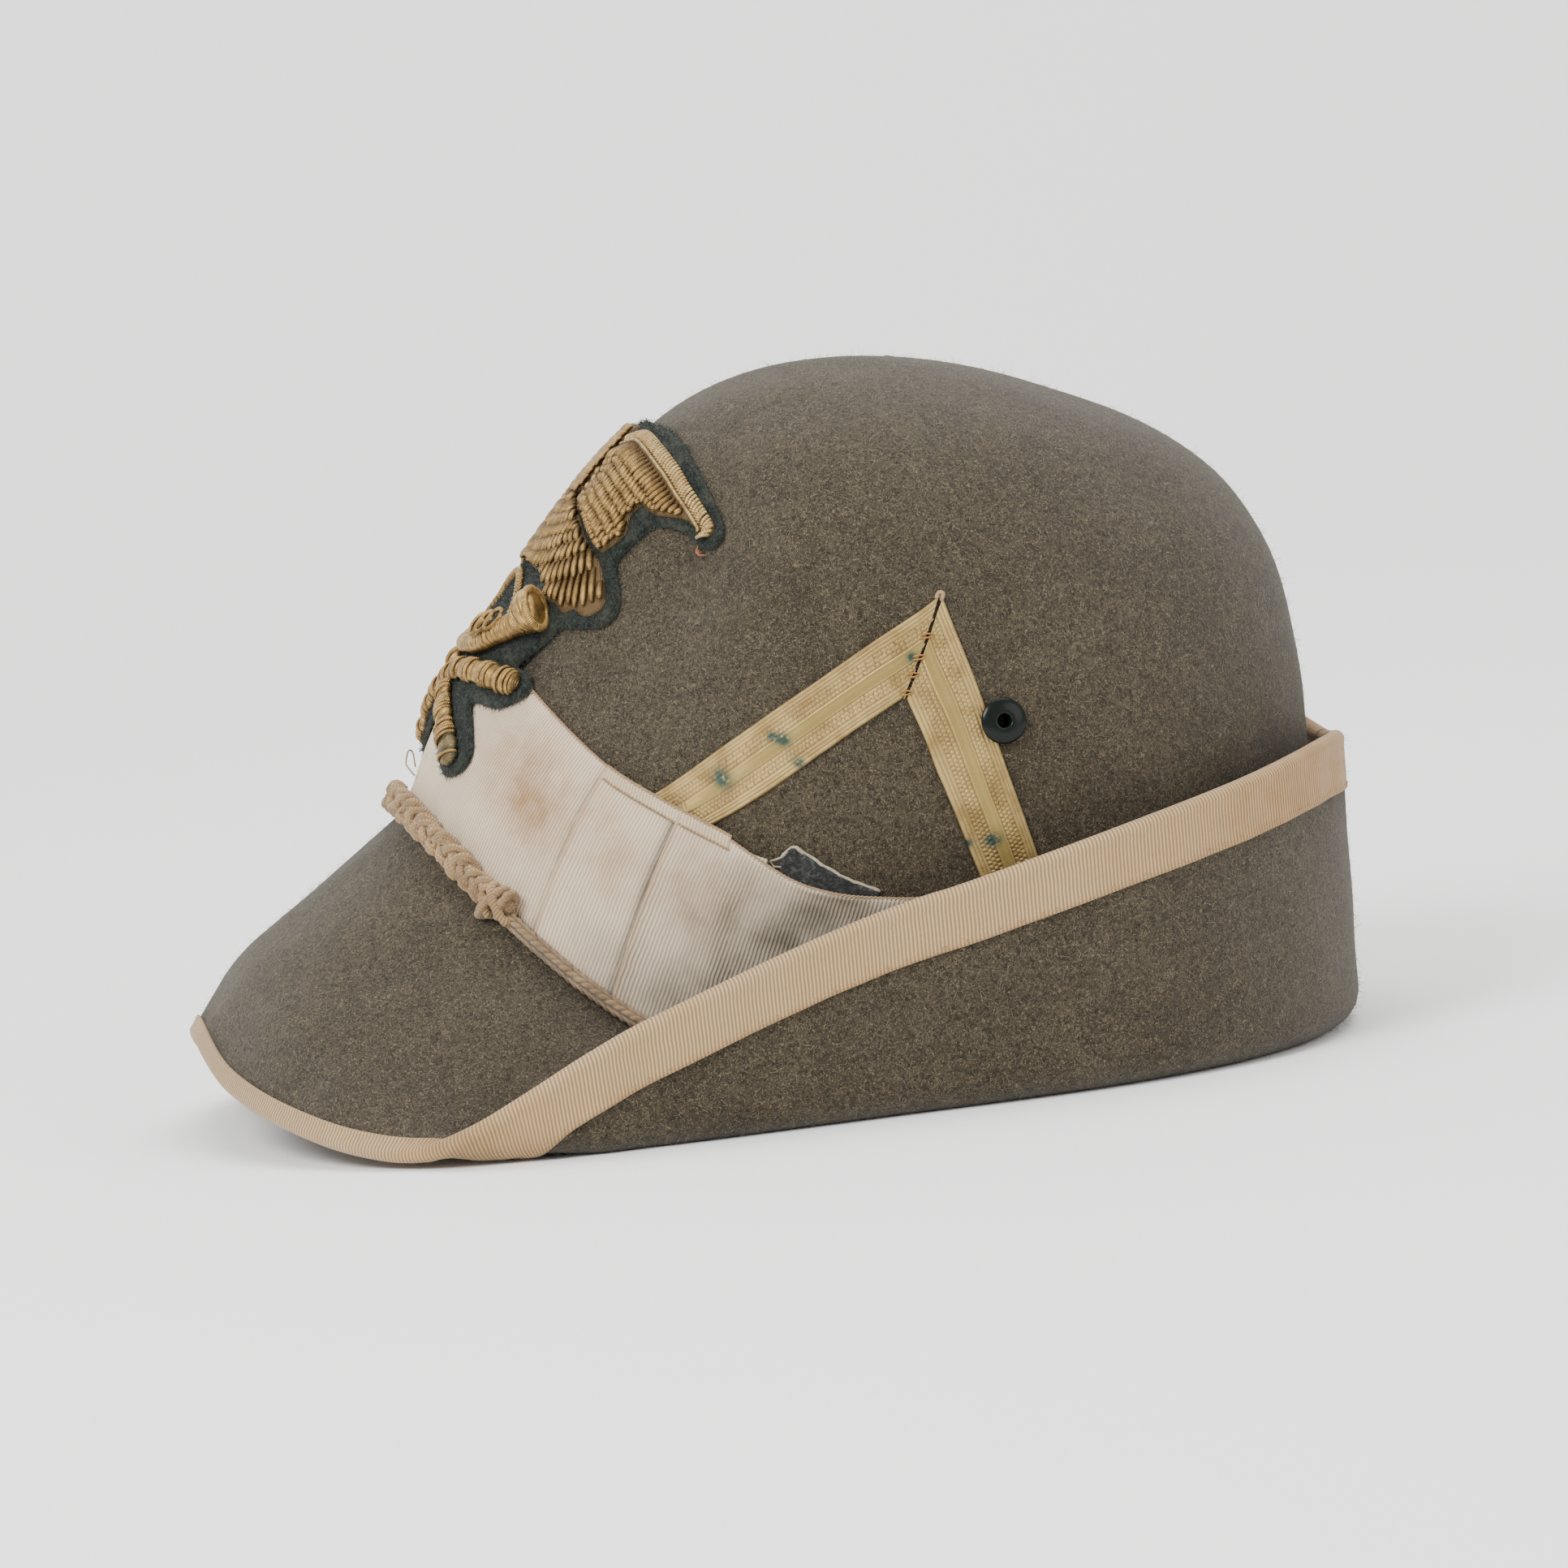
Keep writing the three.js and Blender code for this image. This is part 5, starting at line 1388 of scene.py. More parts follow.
TAIL_OUTLINE = [
    [0, 79.4], [4, 79.4], [30, 67.4], [33.2, 65.6], [37.8, 61.7], [41.4, 57.5], [40.9, 55],
    [38.5, 53.5], [34.8, 54.2], [32.8, 52.6], [28.9, 53.8], [24.7, 54], [18, 58.5],
    [8, 59.5], [0, 60.5],
]
BODY_OUTLINE = [
    [4.2, 80.2], [5, 86], [3.6, 92], [4.2, 96], [1.5, 100], [-3, 101], [-5.2, 98.6],
    [-4.4, 96.6], [-3.8, 92], [-5, 86], [-4.2, 80.2],
]
BARREL_OVER = [
    [34.5, 34.6, 2.6], [30, 33.9, 3], [18, 32.2, 2.7], [3, 29.6, 2.4], [-9, 24.4, 2.5],
    [-22, 15.8, 2.9], [-25.6, 13.2, 2.6],
]
BARREL_LEFT = [[2.2, 25, 2.3], [9, 22.2, 2.5], [22, 15.8, 2.9], [25.6, 13.2, 2.6]]
BARREL_RIGHT = [[-34.5, 34.6, 2.6], [-30, 33.9, 3], [-18, 32.2, 2.7], [-5.5, 31.3, 2.3]]
HORN = [
    [-25.5, 49, 1.4], [-22, 42.5, 1.4], [-12, 37, 1.7], [0, 36, 2], [13, 38, 2.4],
    [21, 43.2, 3], [24.6, 46.4, 3.4], [28, 49.6, 5.4], [29, 50.6, 5.5],
]
HORN_SLING = [[-17, 43.6, 1], [-10.5, 53, 1], [0, 57, 1], [10.5, 53, 1], [17, 45.8, 1]]
ON_CLOTH = 1.25


def both_sides(outline):
    """A half outline with its mirror image."""
    return outline + [[-a, b] for a, b in outline[1:-1]][::-1]


def strokes(bundle, starts, ends, lift, radius, sides=6, bow=0.0, parts=5):
    """Purl pieces from starts to ends on the badge, resting on the padding."""
    starts, ends = np.asarray(starts, float), np.asarray(ends, float)
    if not len(starts):
        return
    t = np.linspace(0, 1, parts)
    flat = starts[:, None] * (1 - t)[None, :, None] + ends[:, None] * t[None, :, None]
    rise = np.broadcast_to(lift + bow * np.sin(np.pi * t), flat.shape[:2])
    paths = on_badge(flat[..., 0], flat[..., 1], ON_CLOTH + rise)
    feet = on_badge(flat[..., 0], flat[..., 1], np.zeros(flat.shape[:2]))
    for path, foot in zip(paths, feet):
        bundle.tube(path, radius, sides, path - foot, cap=0.7)


def trimmed(rim, starts, stops):
    """Pieces of purl cut back to an outline at both their ends."""
    for _ in range(6):
        out = ~inside(rim, stops) | (edge_distance(rim, stops) < 0.3)
        stops = np.where(out[:, None], starts + (stops - starts) * 0.85, stops)
        out = ~inside(rim, starts) | (edge_distance(rim, starts) < 0.3)
        starts = np.where(out[:, None], stops + (starts - stops) * 0.85, starts)
    return starts, stops


def line_with_normals(points, step):
    """A flat line resampled, with the way that points to its right side."""
    line = line_through(points, step)
    way = np.gradient(line, axis=0)
    way /= np.linalg.norm(way, axis=1, keepdims=True)
    return line, way, np.stack([way[:, 1], -way[:, 0]], -1)


class HAT_OT_badge(bpy.types.Operator):
    """Makes the padded badge of metal thread: eagle, horn and crossed barrels"""

    bl_idname = "hat.badge"
    bl_label = "Badge"

    def execute(self, context):
        cloth = padded_piece("badge_ground", both_sides(CLOTH_OUTLINE),
                             lambda a, b, h: on_badge(a, b, h), 1.3, 0.9, finish("cloth"), 0.9,
                             0.5)
        keep(cloth, "badge_cloth", "badge_cloth")
        fuzz = from_nodes("badge_pile", pile_tree, cloth, Density=1350000.0, Length=0.0013,
                          Thick=0.00009, Lean=1.1, Seed=4, Material=finish("pile"))
        keep(fuzz, "badge_cloth")
        for side, name in ((1, "left"), (-1, "right")):
            self.wing(side, name)
        self.tail()
        self.body()
        self.bars()
        return {"FINISHED"}

    def wing(self, side, name):
        outline = np.array(WING_EDGE + WING_REAR[::-1], float)
        flip = np.array([side, 1])
        place = lambda a, b, h: on_badge(a, b, ON_CLOTH + h)
        pad = padded_piece("wing_" + name, outline * flip, place, 1.25, 2.2, finish("padding"),
                           1.0, 0.3)
        keep(pad, "gold_thread", "eagle_wing_" + name)
        made = Bundle()
        rim = smooth_outline(outline, 0.8)
        line, way, down = line_with_normals(WING_EDGE, 1.2)
        strokes(made, (line + down * 0.1) * flip, (line + down * 2.7 + way * 1.5) * flip, 1.0,
                0.5, 8, 0.55)
        path = (line + down * 3.35) * flip
        made.tube(on_badge(path[:, 0], path[:, 1], np.full(len(path), ON_CLOTH + 1.5)), 0.42, 7)
        keep(made.piece("wing_edge_" + name, finish("bright")), "gold_thread")
        made = Bundle()
        self.rows(made, rim, flip, WING_EDGE, [(4.3, 8.8, 1.75, 0.8, 0.1)]
                  + [(8.3 + 2.3 * k, 11.5 + 2.3 * k, 1.75, 0.76, 0.8) for k in range(11)], 2)
        keep(made.piece("wing_purl_" + name, finish("purl")), "gold_thread")

    def rows(self, made, rim, flip, edge, rows, seed):
        """Rows of purl side by side, each row a set way behind the edge and leaning."""
        draw = np.random.default_rng(seed)
        for number, (near, far, pitch, thick, lean) in enumerate(rows):
            line, way, down = line_with_normals(edge, pitch)
            tip = np.linspace(0, 1, len(line))[:, None]
            aim = down + way * (lean + 0.5 * tip**2)
            aim /= np.linalg.norm(aim, axis=1, keepdims=True)
            shift = way * pitch * (0.5 * (number % 2) - lean * 0.3 * near / 4)
            starts = line + down * near + shift
            stops = starts + aim * (far - near)
            stops += draw.normal(size=line.shape) * 0.14
            starts, stops = trimmed(rim, starts, stops)
            fine = inside(rim, starts) & inside(rim, stops)
            fine &= np.linalg.norm(stops - starts, axis=1) > 1.0
            self.scales(made, (starts * flip)[fine], (stops * flip)[fine], thick)

    def scales(self, made, starts, stops, thick):
        """Pieces of purl that rise at their far ends, over the next row's beginnings."""
        if not len(starts):
            return
        t = np.linspace(0, 1, 6)
        flat = starts[:, None] * (1 - t)[None, :, None] + stops[:, None] * t[None, :, None]
        rise = np.broadcast_to(1.0 + 0.9 * t + 0.3 * np.sin(np.pi * t), flat.shape[:2])
        paths = on_badge(flat[..., 0], flat[..., 1], ON_CLOTH + rise)
        feet = on_badge(flat[..., 0], flat[..., 1], np.zeros(flat.shape[:2]))
        size = thick * np.array([0.8, 1.0, 1.0, 1.0, 0.95, 0.6])
        # Painted shade where each scale starts under the one before, and at its end.
        dark = np.array([1.0, 1.0, 0.6, 0.1, 0, 0.4])
        tone = 0.32 * np.random.default_rng(len(starts)).random(len(starts)) ** 2
        for path, foot, own in zip(paths, feet, tone):
            made.tube(path, size, 8, path - foot, cap=0.5, joint_shade=np.clip(dark + own, 0, 1))

    def tail(self):
        place = lambda a, b, h: on_badge(a, b, ON_CLOTH + h)
        outline = np.array(both_sides(TAIL_OUTLINE), float)
        keep(padded_piece("tail", outline, place, 1.2, 2.2, finish("padding"), 1.0, 0.3),
             "gold_thread", "eagle_tail")
        made = Bundle()
        rim = smooth_outline(outline, 0.8)
        centre = np.array([0.0, 104.0])
        draw = np.random.default_rng(9)
        near, number = 23.5, 0
        rows = ((3.4, 0.5), (3.4, -0.2), (3.4, 0.5), (3.6, -0.2), (3.8, 0.4), (4.6, 0.0), (6.0, 0.1),
                (8.5, 0.0))
        for span, aside in rows:
            pitch = 1.75 / (near + span / 2)
            angles = np.arange(-1.2, 1.2, pitch) + (number % 2) * pitch / 2
            way = np.stack([np.sin(angles), -np.cos(angles)], -1)
            lean = np.stack([np.cos(angles), np.sin(angles)], -1) * np.sign(angles)[:, None]
            starts = centre + way * near
            stops = starts + (way + lean * aside) * (span + 0.9)
            stops += draw.normal(size=way.shape) * 0.15
            starts, stops = trimmed(rim, starts, stops)
            fine = inside(rim, starts) & inside(rim, stops)
            fine &= np.linalg.norm(stops - starts, axis=1) > 1.2
            self.scales(made, starts[fine], stops[fine], 0.78)
            near, number = near + span, number + 1
        keep(made.piece("tail_purl", finish("purl")), "gold_thread")

    def body(self):
        place = lambda a, b, h: on_badge(a, b, ON_CLOTH + h)
        outline = np.array(BODY_OUTLINE, float)
        keep(padded_piece("eagle_neck", outline, place, 2.3, 2.6, finish("padding"), 0.8, 0.3),
             "gold_thread", "eagle_body")
        made = Bundle()
        rim = smooth_outline(outline, 0.6)
        for number, high in enumerate(np.arange(99.2, 80.5, -1.9)):
            xs = np.arange(-5, 5.4, 1.25) + (number % 2) * 0.6
            starts = np.stack([xs, np.full(len(xs), high)], -1)
            stops = starts + [0.0, -2.2]
            fine = inside(rim, (starts + stops) / 2)
            strokes(made, starts[fine], stops[fine], 2.1, 0.55, 6, 0.2, 4)
        strokes(made, [[-4.2, 98.8], [-4.4, 98.0]], [[-7.2, 98.2], [-6.8, 97.2]], 1.6, 0.5)
        keep(made.piece("neck_purl", finish("purl")), "gold_thread")

    def bars(self):
        """The horn with its sling, and the two crossed barrels wound with thread."""
        rings = {"barrel_over": BARREL_OVER, "barrel_left": BARREL_LEFT,
                 "barrel_right": BARREL_RIGHT, "horn": HORN}
        for node, table in rings.items():
            flat = line_through(table, 0.3)
            run = np.r_[0, np.cumsum(np.linalg.norm(np.diff(flat[:, :2], axis=0), axis=1))]
            pitch, deep = (1.5, 0.17) if node == "horn" else (3.1, 0.27)
            swell = np.abs(np.sin(np.pi * run / pitch)) ** 0.45
            fine = 0.06 * np.abs(np.sin(np.pi * run / 0.9))
            radius = flat[:, 2] * (1 - deep + deep * swell + fine)
            high = 0.85 if node == "horn" else 0.5
            middle = on_badge(flat[:, 0], flat[:, 1], ON_CLOTH + flat[:, 2] * high)
            foot = on_badge(flat[:, 0], flat[:, 1], np.zeros(len(flat)))
            made = Bundle()
            # Painted shade in the grooves between the turns of thread.
            joint_shade = np.clip(1.15 - 1.4 * swell, 0, 0.95)
            if node == "horn":
                made.tube(middle, radius, 20, middle - foot, 0, 0.9, joint_shade)
            else:
                green = 0.6 * (flat[:, 1] < 17) * (flat[:, 0] > 0)
                made.tube(middle, radius, 20, middle - foot, 0.5, 0.62, joint_shade, green)
                self.windings(made, middle, foot, radius)
            if node == "horn":
                way = middle[-1] - middle[-4]
                way /= np.linalg.norm(way)
                side = np.cross(way, middle[-1] - foot[-1])
                side /= np.linalg.norm(side)
                up = np.cross(side, way)
                turn = np.linspace(0, 2 * np.pi, 40)
                rim = (middle[-1] + side * (np.cos(turn) * 5.0)[:, None]
                       + up * (np.sin(turn) * 4.4)[:, None])
                made.tube(rim, 0.95, 9)
                mouth = Bundle()
                mouth.tube(middle[-1] + way * np.array([[-0.4], [0.35]]), 4.1, 24, None, 0)
                keep(mouth.piece("horn_mouth", finish("purl")), "gold_thread")
            keep(made.piece(node + "_thread", finish("purl")), "gold_thread", node)
        self.sling()

    def windings(self, made, middle, foot, radius):
        """Turns of thread wound over a barrel in bands."""
        out = middle - foot
        out /= np.linalg.norm(out, axis=1, keepdims=True)
        way = np.gradient(middle, axis=0)
        side = np.cross(way, out)
        side /= np.linalg.norm(side, axis=1, keepdims=True)
        turn = np.linspace(0, np.pi, 12)
        run = np.r_[0, np.cumsum(np.linalg.norm(np.diff(middle, axis=0), axis=1))]
        for at in np.arange(0.8, run[-1] - 0.5, 1.05):
            if int(at / 4.6) % 2:
                continue
            k = int(np.searchsorted(run, at))
            loop = (middle[k] + side[k] * (np.cos(turn) * (radius[k] + 0.1))[:, None]
                    + out[k] * (np.sin(turn) * (radius[k] * 0.62 + 0.35))[:, None])
            made.tube(loop, 0.42, 6, loop - middle[k], 0.5)

    def sling(self):
        """The cord that the horn hangs by, with its loops."""
        sling = line_through(HORN_SLING, 0.5)
        middle = on_badge(sling[:, 0], sling[:, 1], np.full(len(sling), ON_CLOTH + 1.0))
        foot = on_badge(sling[:, 0], sling[:, 1], np.zeros(len(sling)))
        out = (middle - foot) / np.linalg.norm(middle - foot, axis=1, keepdims=True)
        way = np.gradient(middle, axis=0)
        side = np.cross(way, out)
        side /= np.linalg.norm(side, axis=1, keepdims=True)
        run = np.r_[0, np.cumsum(np.linalg.norm(np.diff(middle, axis=0), axis=1))]
        made = Bundle()
        for k in range(3):
            turn = 2 * np.pi * (run / 4.2 + k / 3)
            made.tube(middle + side * (0.5 * np.cos(turn))[:, None]
                      + out * (0.5 * np.sin(turn))[:, None], 0.55, 6)
        for k in range(3):
            turn = np.linspace(0, 2 * np.pi, 22)
            loop = np.stack([14 + 2.6 * k + 1.9 * np.cos(turn), 41.5 + 1.4 * k
                             + 2.8 * np.sin(turn)], -1)
            made.tube(on_badge(loop[:, 0], loop[:, 1], np.full(len(loop), ON_CLOTH + 5.4)),
                      0.5, 6)
        keep(made.piece("sling_cord", finish("purl")), "gold_thread", "horn_sling")


# The lace, etc..
LACE_ARMS = {
    "lace_front": (
        [[90.3, 107], [79.2, 97.5], [69.3, 84], [60.2, 67.3], [51.9, 48.6], [50.5, 45.4]],
        [[85.1, 84.9], [78.9, 78.3], [72.9, 69.9], [67.1, 60], [61.2, 49.4], [59.4, 46]],
    ),
    "lace_back": (
        [[90.8, 106.5], [94.8, 85.7], [98.1, 65.2], [101.6, 44.6], [102.4, 39.6]],
        [[85.5, 84.4], [87.5, 77.5], [89.1, 70.5], [91.8, 55.7], [94.8, 39.6]],
    ),
}
LACE_WIDE = 15.5
ROUND_MM = 1.43


# Verdigris on the lace: round, up, reach in millimetres.
GREEN_SPOTS = (
    (85.9, 93.8, 1.2), (68.2, 72.6, 1.6), (66.5, 72.4, 1.1), (60.5, 58.8, 2.2), (71.0, 68.5, 1.2),
    (92.7, 49.6, 1.2), (96.0, 49.8, 1.6),
)


class HAT_OT_lace(bpy.types.Operator):
    """Makes the woven lace chevron"""

    bl_idname = "hat.lace"
    bl_label = "Lace chevron"

    def execute(self, context):
        seam = None
        for node, (outer_edge, inner_edge) in LACE_ARMS.items():
            first, second = (self.spaced(edge, 260) for edge in (outer_edge, inner_edge))
            across = np.linspace(0, 1, 58)
            where = first[None] * (1 - across)[:, None, None] + second[None] * across[:, None, None]
            flat = where * [ROUND_MM, 1]
            way = flat[28, -1] - flat[28, 0]
            way /= np.linalg.norm(way)
            run = flat @ way
            side = across[:, None] * LACE_WIDE + 0 * run
            high, strip, joint_shade = self.relief(run, side)
            green = np.zeros(run.shape)
            for spot_round, spot_up, wide in GREEN_SPOTS:
                away = (where - [spot_round, spot_up]) * [ROUND_MM, 1]
                green += np.exp(-(np.linalg.norm(away, axis=-1) / wide) ** 2) * 1.3
            ripple = 0.12 * (1 + np.sin(run / 2.7) * np.sin(side / 3))
            upper = on_crown(where[..., 0], where[..., 1], 0.5 + ripple + high)
            under = on_crown(where[..., 0], where[..., 1], np.full(run.shape, 0.1))
            uv = np.stack([run, side], -1)
            piece = sheet_piece(node + "_weave", upper, under, finish("lace"), uv,
                                marked=np.stack([strip, joint_shade, green], -1))
            keep(piece, "gold_lace", node)
            seam = where[:, 0] if seam is None else seam
        joined = on_crown(seam[:, 0] + 0.1, seam[:, 1], np.full(len(seam), 1.0))
        keep(stitches("lace_mitre", joined, 5.0, 1.2, 0.3, finish("thread")), "gold_lace")
        made = Bundle()
        for part in (0.42, 0.62, 0.8, 0.97):
            at = seam[int(part * (len(seam) - 1))]
            for k in (-0.35, 0.35):
                ends = np.array([[at[0] - 0.9, at[1] + k], [at[0], at[1] + k * 1.4],
                                 [at[0] + 1.1, at[1] + k * 0.6]])
                made.tube(on_crown(ends[:, 0], ends[:, 1], np.array([0.9, 1.5, 0.9])), 0.2, 5)
        keep(made.piece("lace_tacks", finish("tack")), "gold_lace")
        return {"FINISHED"}

    def spaced(self, edge, count):
        line = line_through(np.array(edge, float), 0.5)
        flat = line * [ROUND_MM, 1]
        along = np.r_[0, np.cumsum(np.linalg.norm(np.diff(flat, axis=0), axis=1))]
        at = np.linspace(0, along[-1], count)
        return np.stack([np.interp(at, along, line[:, k]) for k in (0, 1)], -1)

    def relief(self, run, side):
        """How high the weave stands, how smooth its middle is, and the painted shade between threads.
        """
        from_edge = np.minimum(side, LACE_WIDE - side)
        cords, joint_shade = np.zeros(run.shape), np.zeros(run.shape)
        for middle in (0.55, 1.5, 2.35):
            cords += np.exp(-((from_edge - middle) / 0.36) ** 2)
            # Painted shade between the edge cords.
            joint_shade += 0.75 * np.exp(-((from_edge - middle - 0.47) / 0.15) ** 2)
        cell = 1.05
        u = run / cell
        w = (from_edge - 2.85) / cell
        u = u + 0.5 * (np.floor(w) % 2)
        basket = (np.abs(np.sin(np.pi * u)) * np.abs(np.sin(np.pi * w))) ** 0.5
        woven = soft_step(from_edge, 2.75, 2.95) * soft_step(5.95 - from_edge, 0, 0.2)
        # Painted shade in the basket weave's hollows.
        joint_shade += woven * np.clip(1.15 - 1.7 * basket, 0, 1)
        strip = soft_step(from_edge, 5.9, 6.2)
        joint_shade += 0.8 * np.exp(-((from_edge - 6.0) / 0.14) ** 2)
        joint_shade += 0.4 * np.exp(-((from_edge - 6.75) / 0.1) ** 2)
        joint_shade += 0.3 * np.exp(-((side - LACE_WIDE / 2 - 0.4) / 0.1) ** 2)
        high = 0.42 * cords + 0.45 * basket * woven + 0.4 * strip
        return high, strip, np.clip(joint_shade, 0, 1)


class HAT_OT_tab(bpy.types.Operator):
    """Makes the leather loop behind the band, with its raw edge"""

    bl_idname = "hat.tab"
    bl_label = "Leather tab"

    def execute(self, context):
        across = np.linspace(70.6, 83.4, 34)
        top = np.interp(across, [70.6, 71.6, 72.4, 79, 83.4], [46.2, 49.0, 49.4, 43.8, 40.8])
        parts = np.linspace(0, 1, 26)
        up = 24 + (top[None] - 24) * parts[:, None]
        where = np.repeat(across[None], len(parts), 0)
        bow = 0.35 * np.sin(np.linspace(0, np.pi, 34))[None] + 0.12 * np.sin(across)[None]
        lower = on_crown(where, up, 0.15 + bow)
        upper = on_crown(where, up, 1.35 + bow)
        uv = np.stack([where * ROUND_MM, up], -1)
        keep(sheet_piece("tab", upper, lower, finish("leather"), uv), "tab_leather",
             "feather_tab")
        made = Bundle()
        edge = on_crown(across, top + 0.1, np.full(len(across), 0.8) + bow[0])
        made.tube(wobble(edge, 0.2, 3, 2.2), 0.5, 8)
        loop = np.array([[70.9, 46.8], [70.2, 46.0], [69.4, 45.2], [69.9, 44.2], [70.8, 44.4]])
        made.tube(on_crown(loop[:, 0], loop[:, 1], np.array([1.2, 1.9, 2.0, 1.9, 1.4])), 0.28, 6)
        keep(made.piece("tab_edge", finish("raw")), "tab_leather")
        return {"FINISHED"}


class HAT_OT_vents(bpy.types.Operator):
    """Makes the two enamelled vents"""

    bl_idname = "hat.vents"
    bl_label = "Vents"

    def execute(self, context):
        for side, node in ((1, "vent_left"), (-1, "vent_right")):
            v = section_at(VENT["round"], VENT["up"])
            spot = felt_point(side * VENT["round"], v)
            facing = Vector(felt_normal(side * VENT["round"], v)).to_track_quat("Z", "Y")
            flange = 1.7 if side > 0 else 0.3
            inner = -FELT - 0.6
            profile = [(1.35, inner - 0.7), (3.3, inner - 0.7), (3.6, inner - 0.35), (3.4, inner),
                       (2.2, inner), (2.2, flange - 0.1), (5.0, flange), (5.3, flange + 0.15),
                       (5.3, flange + 0.35), (5.0, flange + 0.62), (4.3, flange + 0.95),
                       (3.4, flange + 1.22), (2.4, flange + 1.36), (1.95, flange + 1.36),
                       (1.75, flange + 1.28), (1.6, flange + 1.0), (1.35, flange + 0.6),
                       (1.35, inner)]
            count = 48
            turn = 2 * np.pi * np.arange(count) / count
            rings = np.array([[[r * math.cos(a), r * math.sin(a), z] for a in turn]
                              for r, z in profile])
            faces = grid_faces(len(profile), count, True)
            end = (len(profile) - 1) * count
            faces += [[end + j, j, (j + 1) % count, end + (j + 1) % count]
                      for j in range(count)]
            turned = np.array(facing.to_matrix())
            points = rings.reshape(-1, 3) @ turned.T + spot
            piece = new_piece("enamel_" + node, points, faces, finish("paint"))
            face_outward(piece)
            keep(piece, "vent_paint", node)
        return {"FINISHED"}


# Ends that have worked loose: finish, radius, then round, up and distance off the felt.
LOOSE = (
    ("rust", 0.22, [[42.0, 97.2, 0.6], [42.9, 98.6, 1.6], [43.6, 97.9, 2.2], [44.4, 99.0, 1.0]]),
    ("rust", 0.2, [[41.6, 99.0, 0.5], [42.4, 97.6, 1.4], [43.4, 98.8, 1.2]]),
    ("thread", 0.2, [[-7.4, 5.4, 2.0], [-6.6, 8.2, 3.6], [-5.0, 8.0, 4.6], [-4.2, 5.2, 4.2],
                     [-1.8, 4.0, 3.0], [0.6, 3.4, 2.2]]),
    ("thread", 0.16, [[57.2, 47.6, 2.6], [56.2, 49.4, 3.2], [55.0, 49.2, 2.4], [55.6, 47.8, 2.2]]),
    ("edge_thread", 0.5, [[90.6, 105.9, 0.8], [90.8, 107.2, 1.6], [90.2, 107.6, 1.3],
                          [89.9, 106.6, 1.0]]),
)
FRAYED = [[[178, -1.2, 0.6], [179, 1.4, 2.4], [180.5, 2.6, 2.9], [181, 4.6, 1.4]],
          [[181, -0.6, 0.6], [180, 1.2, 2.6], [181.5, 2.2, 3.2]]]


class HAT_OT_threads(bpy.types.Operator):
    """Makes the ends of thread that have worked loose"""

    bl_idname = "hat.threads"
    bl_label = "Loose threads"

    def execute(self, context):
        for number, (key, radius, points) in enumerate(LOOSE):
            line = line_through(points, 0.4)
            made = Bundle()
            made.tube(on_crown(line[:, 0], line[:, 1], line[:, 2]), radius, 6)
            keep(made.piece(f"loose_end_{number + 1}", finish(key)), "gold_thread")
        for number, points in enumerate(FRAYED):
            line = line_through(points, 0.4)
            length = brim_length(line[:, 0])
            made = Bundle()
            made.tube(off_felt(line[:, 0], -(length - 2 - line[:, 1]), -FELT - line[:, 2]), 0.24, 6)
            keep(made.piece(f"frayed_end_{number + 1}", finish("thread")), "edge_ribbon")
        return {"FINISHED"}


# The stage.
CAMERA_SPOT = (-250.9, -1971.4, 285.1)
CAMERA_FORWARD = (0.1287, 0.9857, -0.1087)
CAMERA_UP = (0.1086, 0.0949, 0.9895)
CAMERA_ANGLE = 10.61


class HAT_OT_stage(bpy.types.Operator):
    """Makes the floor, the lights and the camera"""

    bl_idname = "hat.stage"
    bl_label = "Stage"

    def execute(self, context):
        scene = context.scene
        bend = 0.5
        ys = np.r_[np.linspace(-3.0, 1.2, 4), 1.2 + bend * np.sin(np.linspace(0.1, 1.57, 14)),
                   1.2 + bend]
        zs = np.r_[np.zeros(4), bend - bend * np.cos(np.linspace(0.1, 1.57, 14)), 3.0]
        xs = np.array([-3.0, 3.0])
        points = np.array([[[x, y, z] for x in xs] for y, z in zip(ys, zs)]) / MM
        points[..., 0] += BOX_MIDDLE_X
        points[..., 2] -= 0.05
        floor = new_piece("floor", points, grid_faces(len(ys), 2), finish("floor"))
        for polygon in floor.data.polygons[:1]:
            if polygon.normal.z < 0:
                floor.data.flip_normals()
        lights = [("key", (-1.2, -1.2, 1.4), 46.0, 1.0), ("fill", (1.5, -1.4, 0.9), 12.0, 1.6),
                  ("over", (0.3, 0.3, 1.9), 26.0, 1.8)]
        for name, place, power, size in lights:
            lamp = bpy.data.lights.new(name, "AREA")
            lamp.energy, lamp.size, lamp.shape = power, size, "DISK"
            shade = bpy.data.objects.new(name, lamp)
            shade.location = place
            aim = Vector((0, 0, 0.06)) - Vector(place)
            shade.rotation_euler = aim.to_track_quat("-Z", "Y").to_euler()
            scene.collection.objects.link(shade)
        world = bpy.data.worlds.new("studio")
        world.use_nodes = True
        world.node_tree.nodes["Background"].inputs["Color"].default_value = (1, 0.985, 0.96, 1)
        world.node_tree.nodes["Background"].inputs["Strength"].default_value = 0.95
        scene.world = world
        lens = bpy.data.cameras.new("camera")
        lens.sensor_fit, lens.angle = "HORIZONTAL", math.radians(CAMERA_ANGLE)
        lens.clip_end = 20
        camera = bpy.data.objects.new("camera", lens)
        forward = Vector(CAMERA_FORWARD).normalized()
        right = forward.cross(Vector(CAMERA_UP)).normalized()
        up = right.cross(forward)
        turn = Matrix((right, up, -forward)).transposed()
        camera.matrix_world = (Matrix.Translation(Vector(CAMERA_SPOT) * MM)
                               @ turn.to_4x4())
        scene.collection.objects.link(camera)
        scene.camera = camera
        return {"FINISHED"}


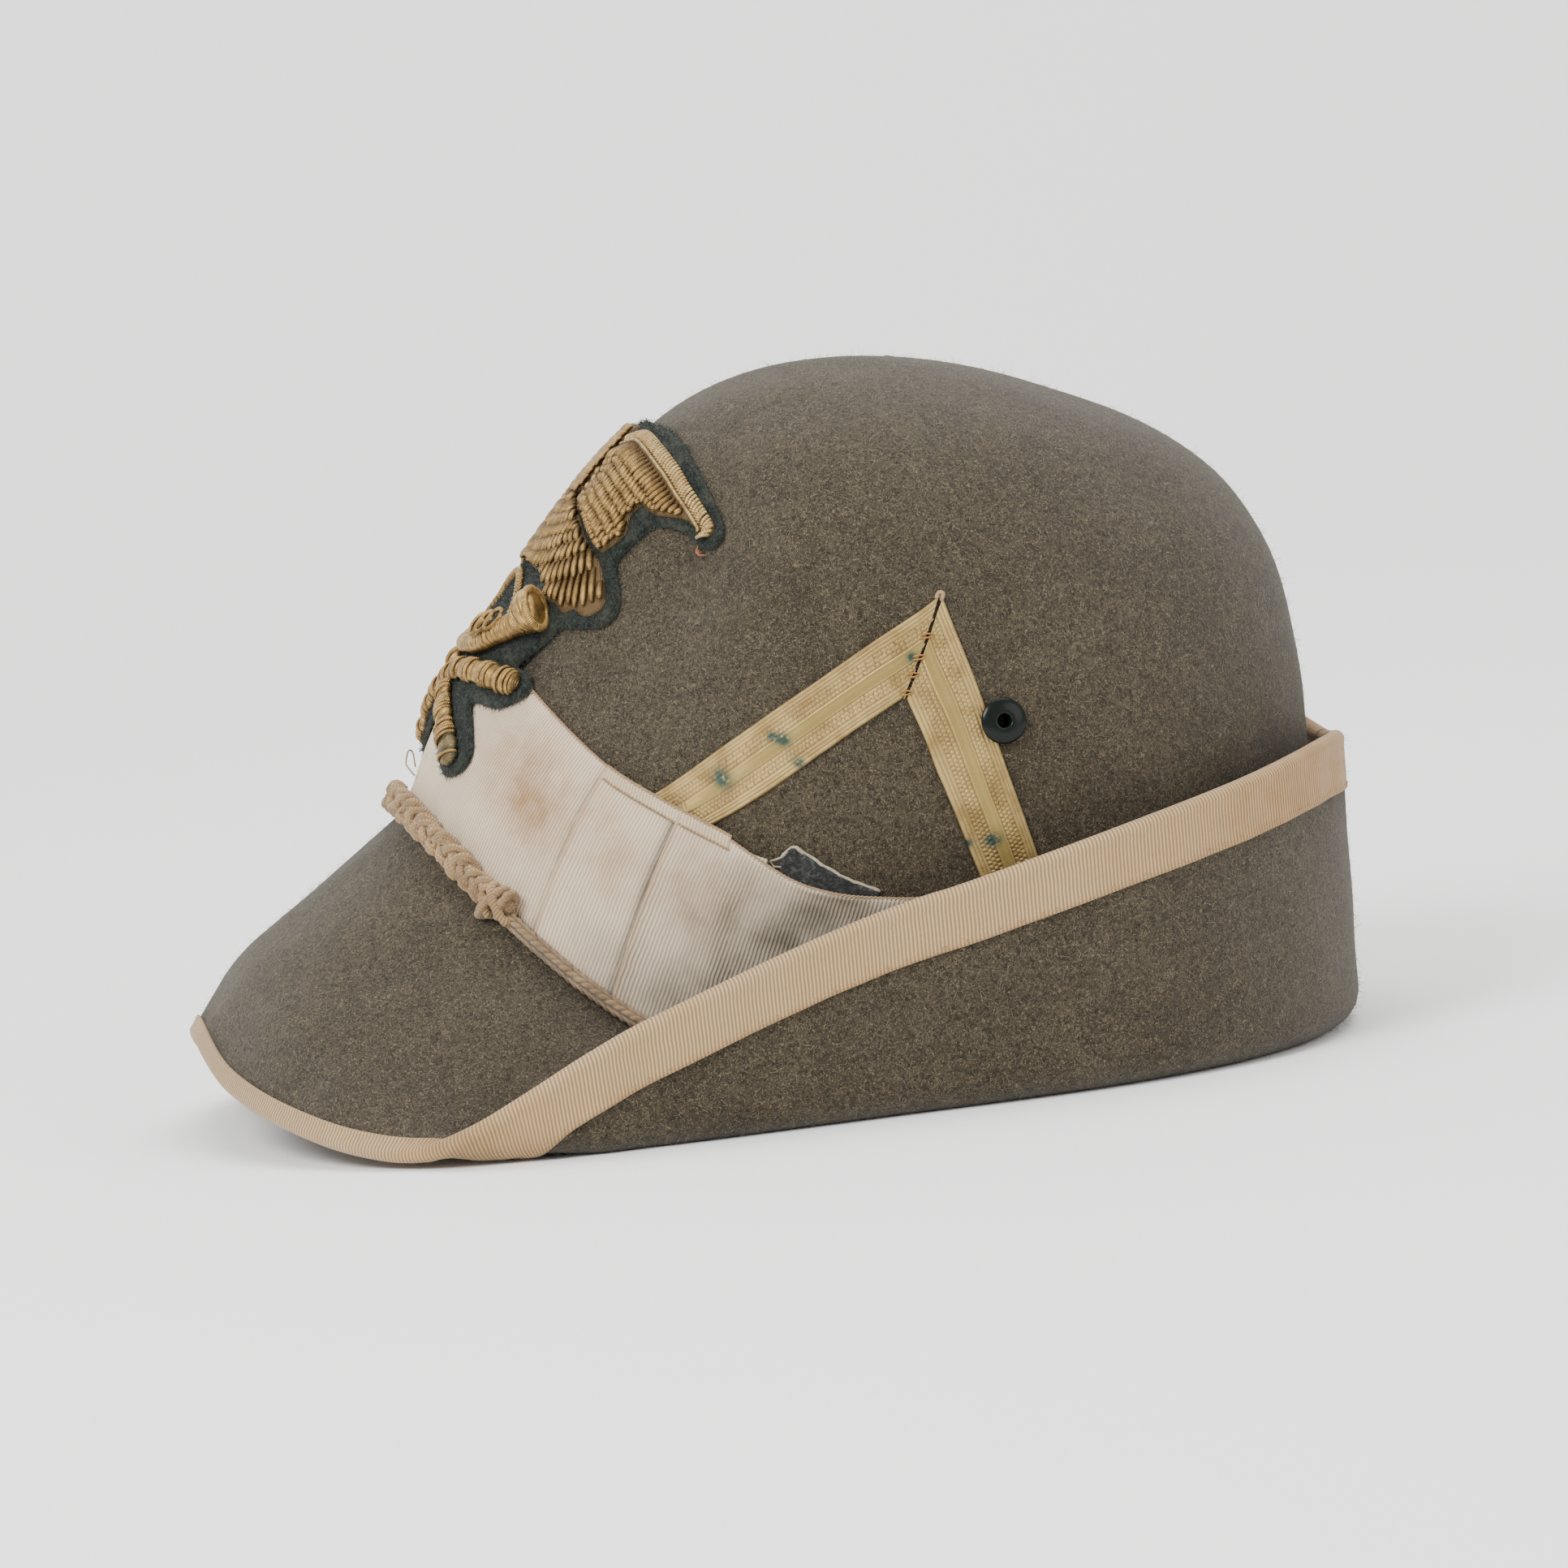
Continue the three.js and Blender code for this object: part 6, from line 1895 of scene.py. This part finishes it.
# The add-on.
class HatSizes(bpy.types.PropertyGroup):
    """Sizes that a user would change"""

    edge_under: bpy.props.FloatProperty(
        name="Edge ribbon, outside", description="Width of the edge ribbon outside, in mm",
        default=12.0, min=6.0, max=20.0)
    edge_top: bpy.props.FloatProperty(
        name="Edge ribbon, inside", description="Width of the edge ribbon inside, in mm",
        default=3.5, min=2.0, max=8.0)


class HatColours(bpy.types.PropertyGroup):
    """Colours that a user would change, as sRGB hex values"""

    felt: bpy.props.StringProperty(name="Felt", description="Felt", default="#423b2f")
    felt_dark: bpy.props.StringProperty(
        name="Felt, dark", description="Felt where it is worn dark", default="#352f24")
    edge: bpy.props.StringProperty(
        name="Edge ribbon", description="Ribbon on the brim's edge", default="#c8a87c")
    band: bpy.props.StringProperty(
        name="Band", description="Ribbon round the crown", default="#e9d6ba")
    cord: bpy.props.StringProperty(name="Cord", description="Braided cord", default="#b3946a")
    gold: bpy.props.StringProperty(name="Gold", description="Metal thread", default="#cfa968")
    floor: bpy.props.StringProperty(name="Floor", description="Studio floor", default="#ffffff")


PIECES = (HAT_OT_stage, HAT_OT_felt, HAT_OT_edge, HAT_OT_band, HAT_OT_cord, HAT_OT_badge,
          HAT_OT_lace, HAT_OT_tab, HAT_OT_vents, HAT_OT_threads)


class HAT_PT_panel(bpy.types.Panel):
    """Lists the hat's pieces, sizes and colours"""

    bl_label = "Hat"
    bl_idname = "HAT_PT_panel"
    bl_space_type = "VIEW_3D"
    bl_region_type = "UI"
    bl_category = "Hat"

    def draw(self, context):
        for piece in PIECES:
            self.layout.operator(piece.bl_idname)
        for group in (context.scene.hat_sizes, context.scene.hat_colours):
            for name in group.__annotations__:
                self.layout.prop(group, name)


CLASSES = (HatSizes, HatColours, *PIECES, HAT_PT_panel)


def register():
    for cls in CLASSES:
        bpy.utils.register_class(cls)
    bpy.types.Scene.hat_sizes = bpy.props.PointerProperty(type=HatSizes)
    bpy.types.Scene.hat_colours = bpy.props.PointerProperty(type=HatColours)


def unregister():
    del bpy.types.Scene.hat_colours
    del bpy.types.Scene.hat_sizes
    for cls in reversed(CLASSES):
        bpy.utils.unregister_class(cls)


def main():
    register()
    for piece in PIECES:
        getattr(bpy.ops.hat, piece.bl_idname.split(".")[1])()


if __name__ == "__main__":
    main()
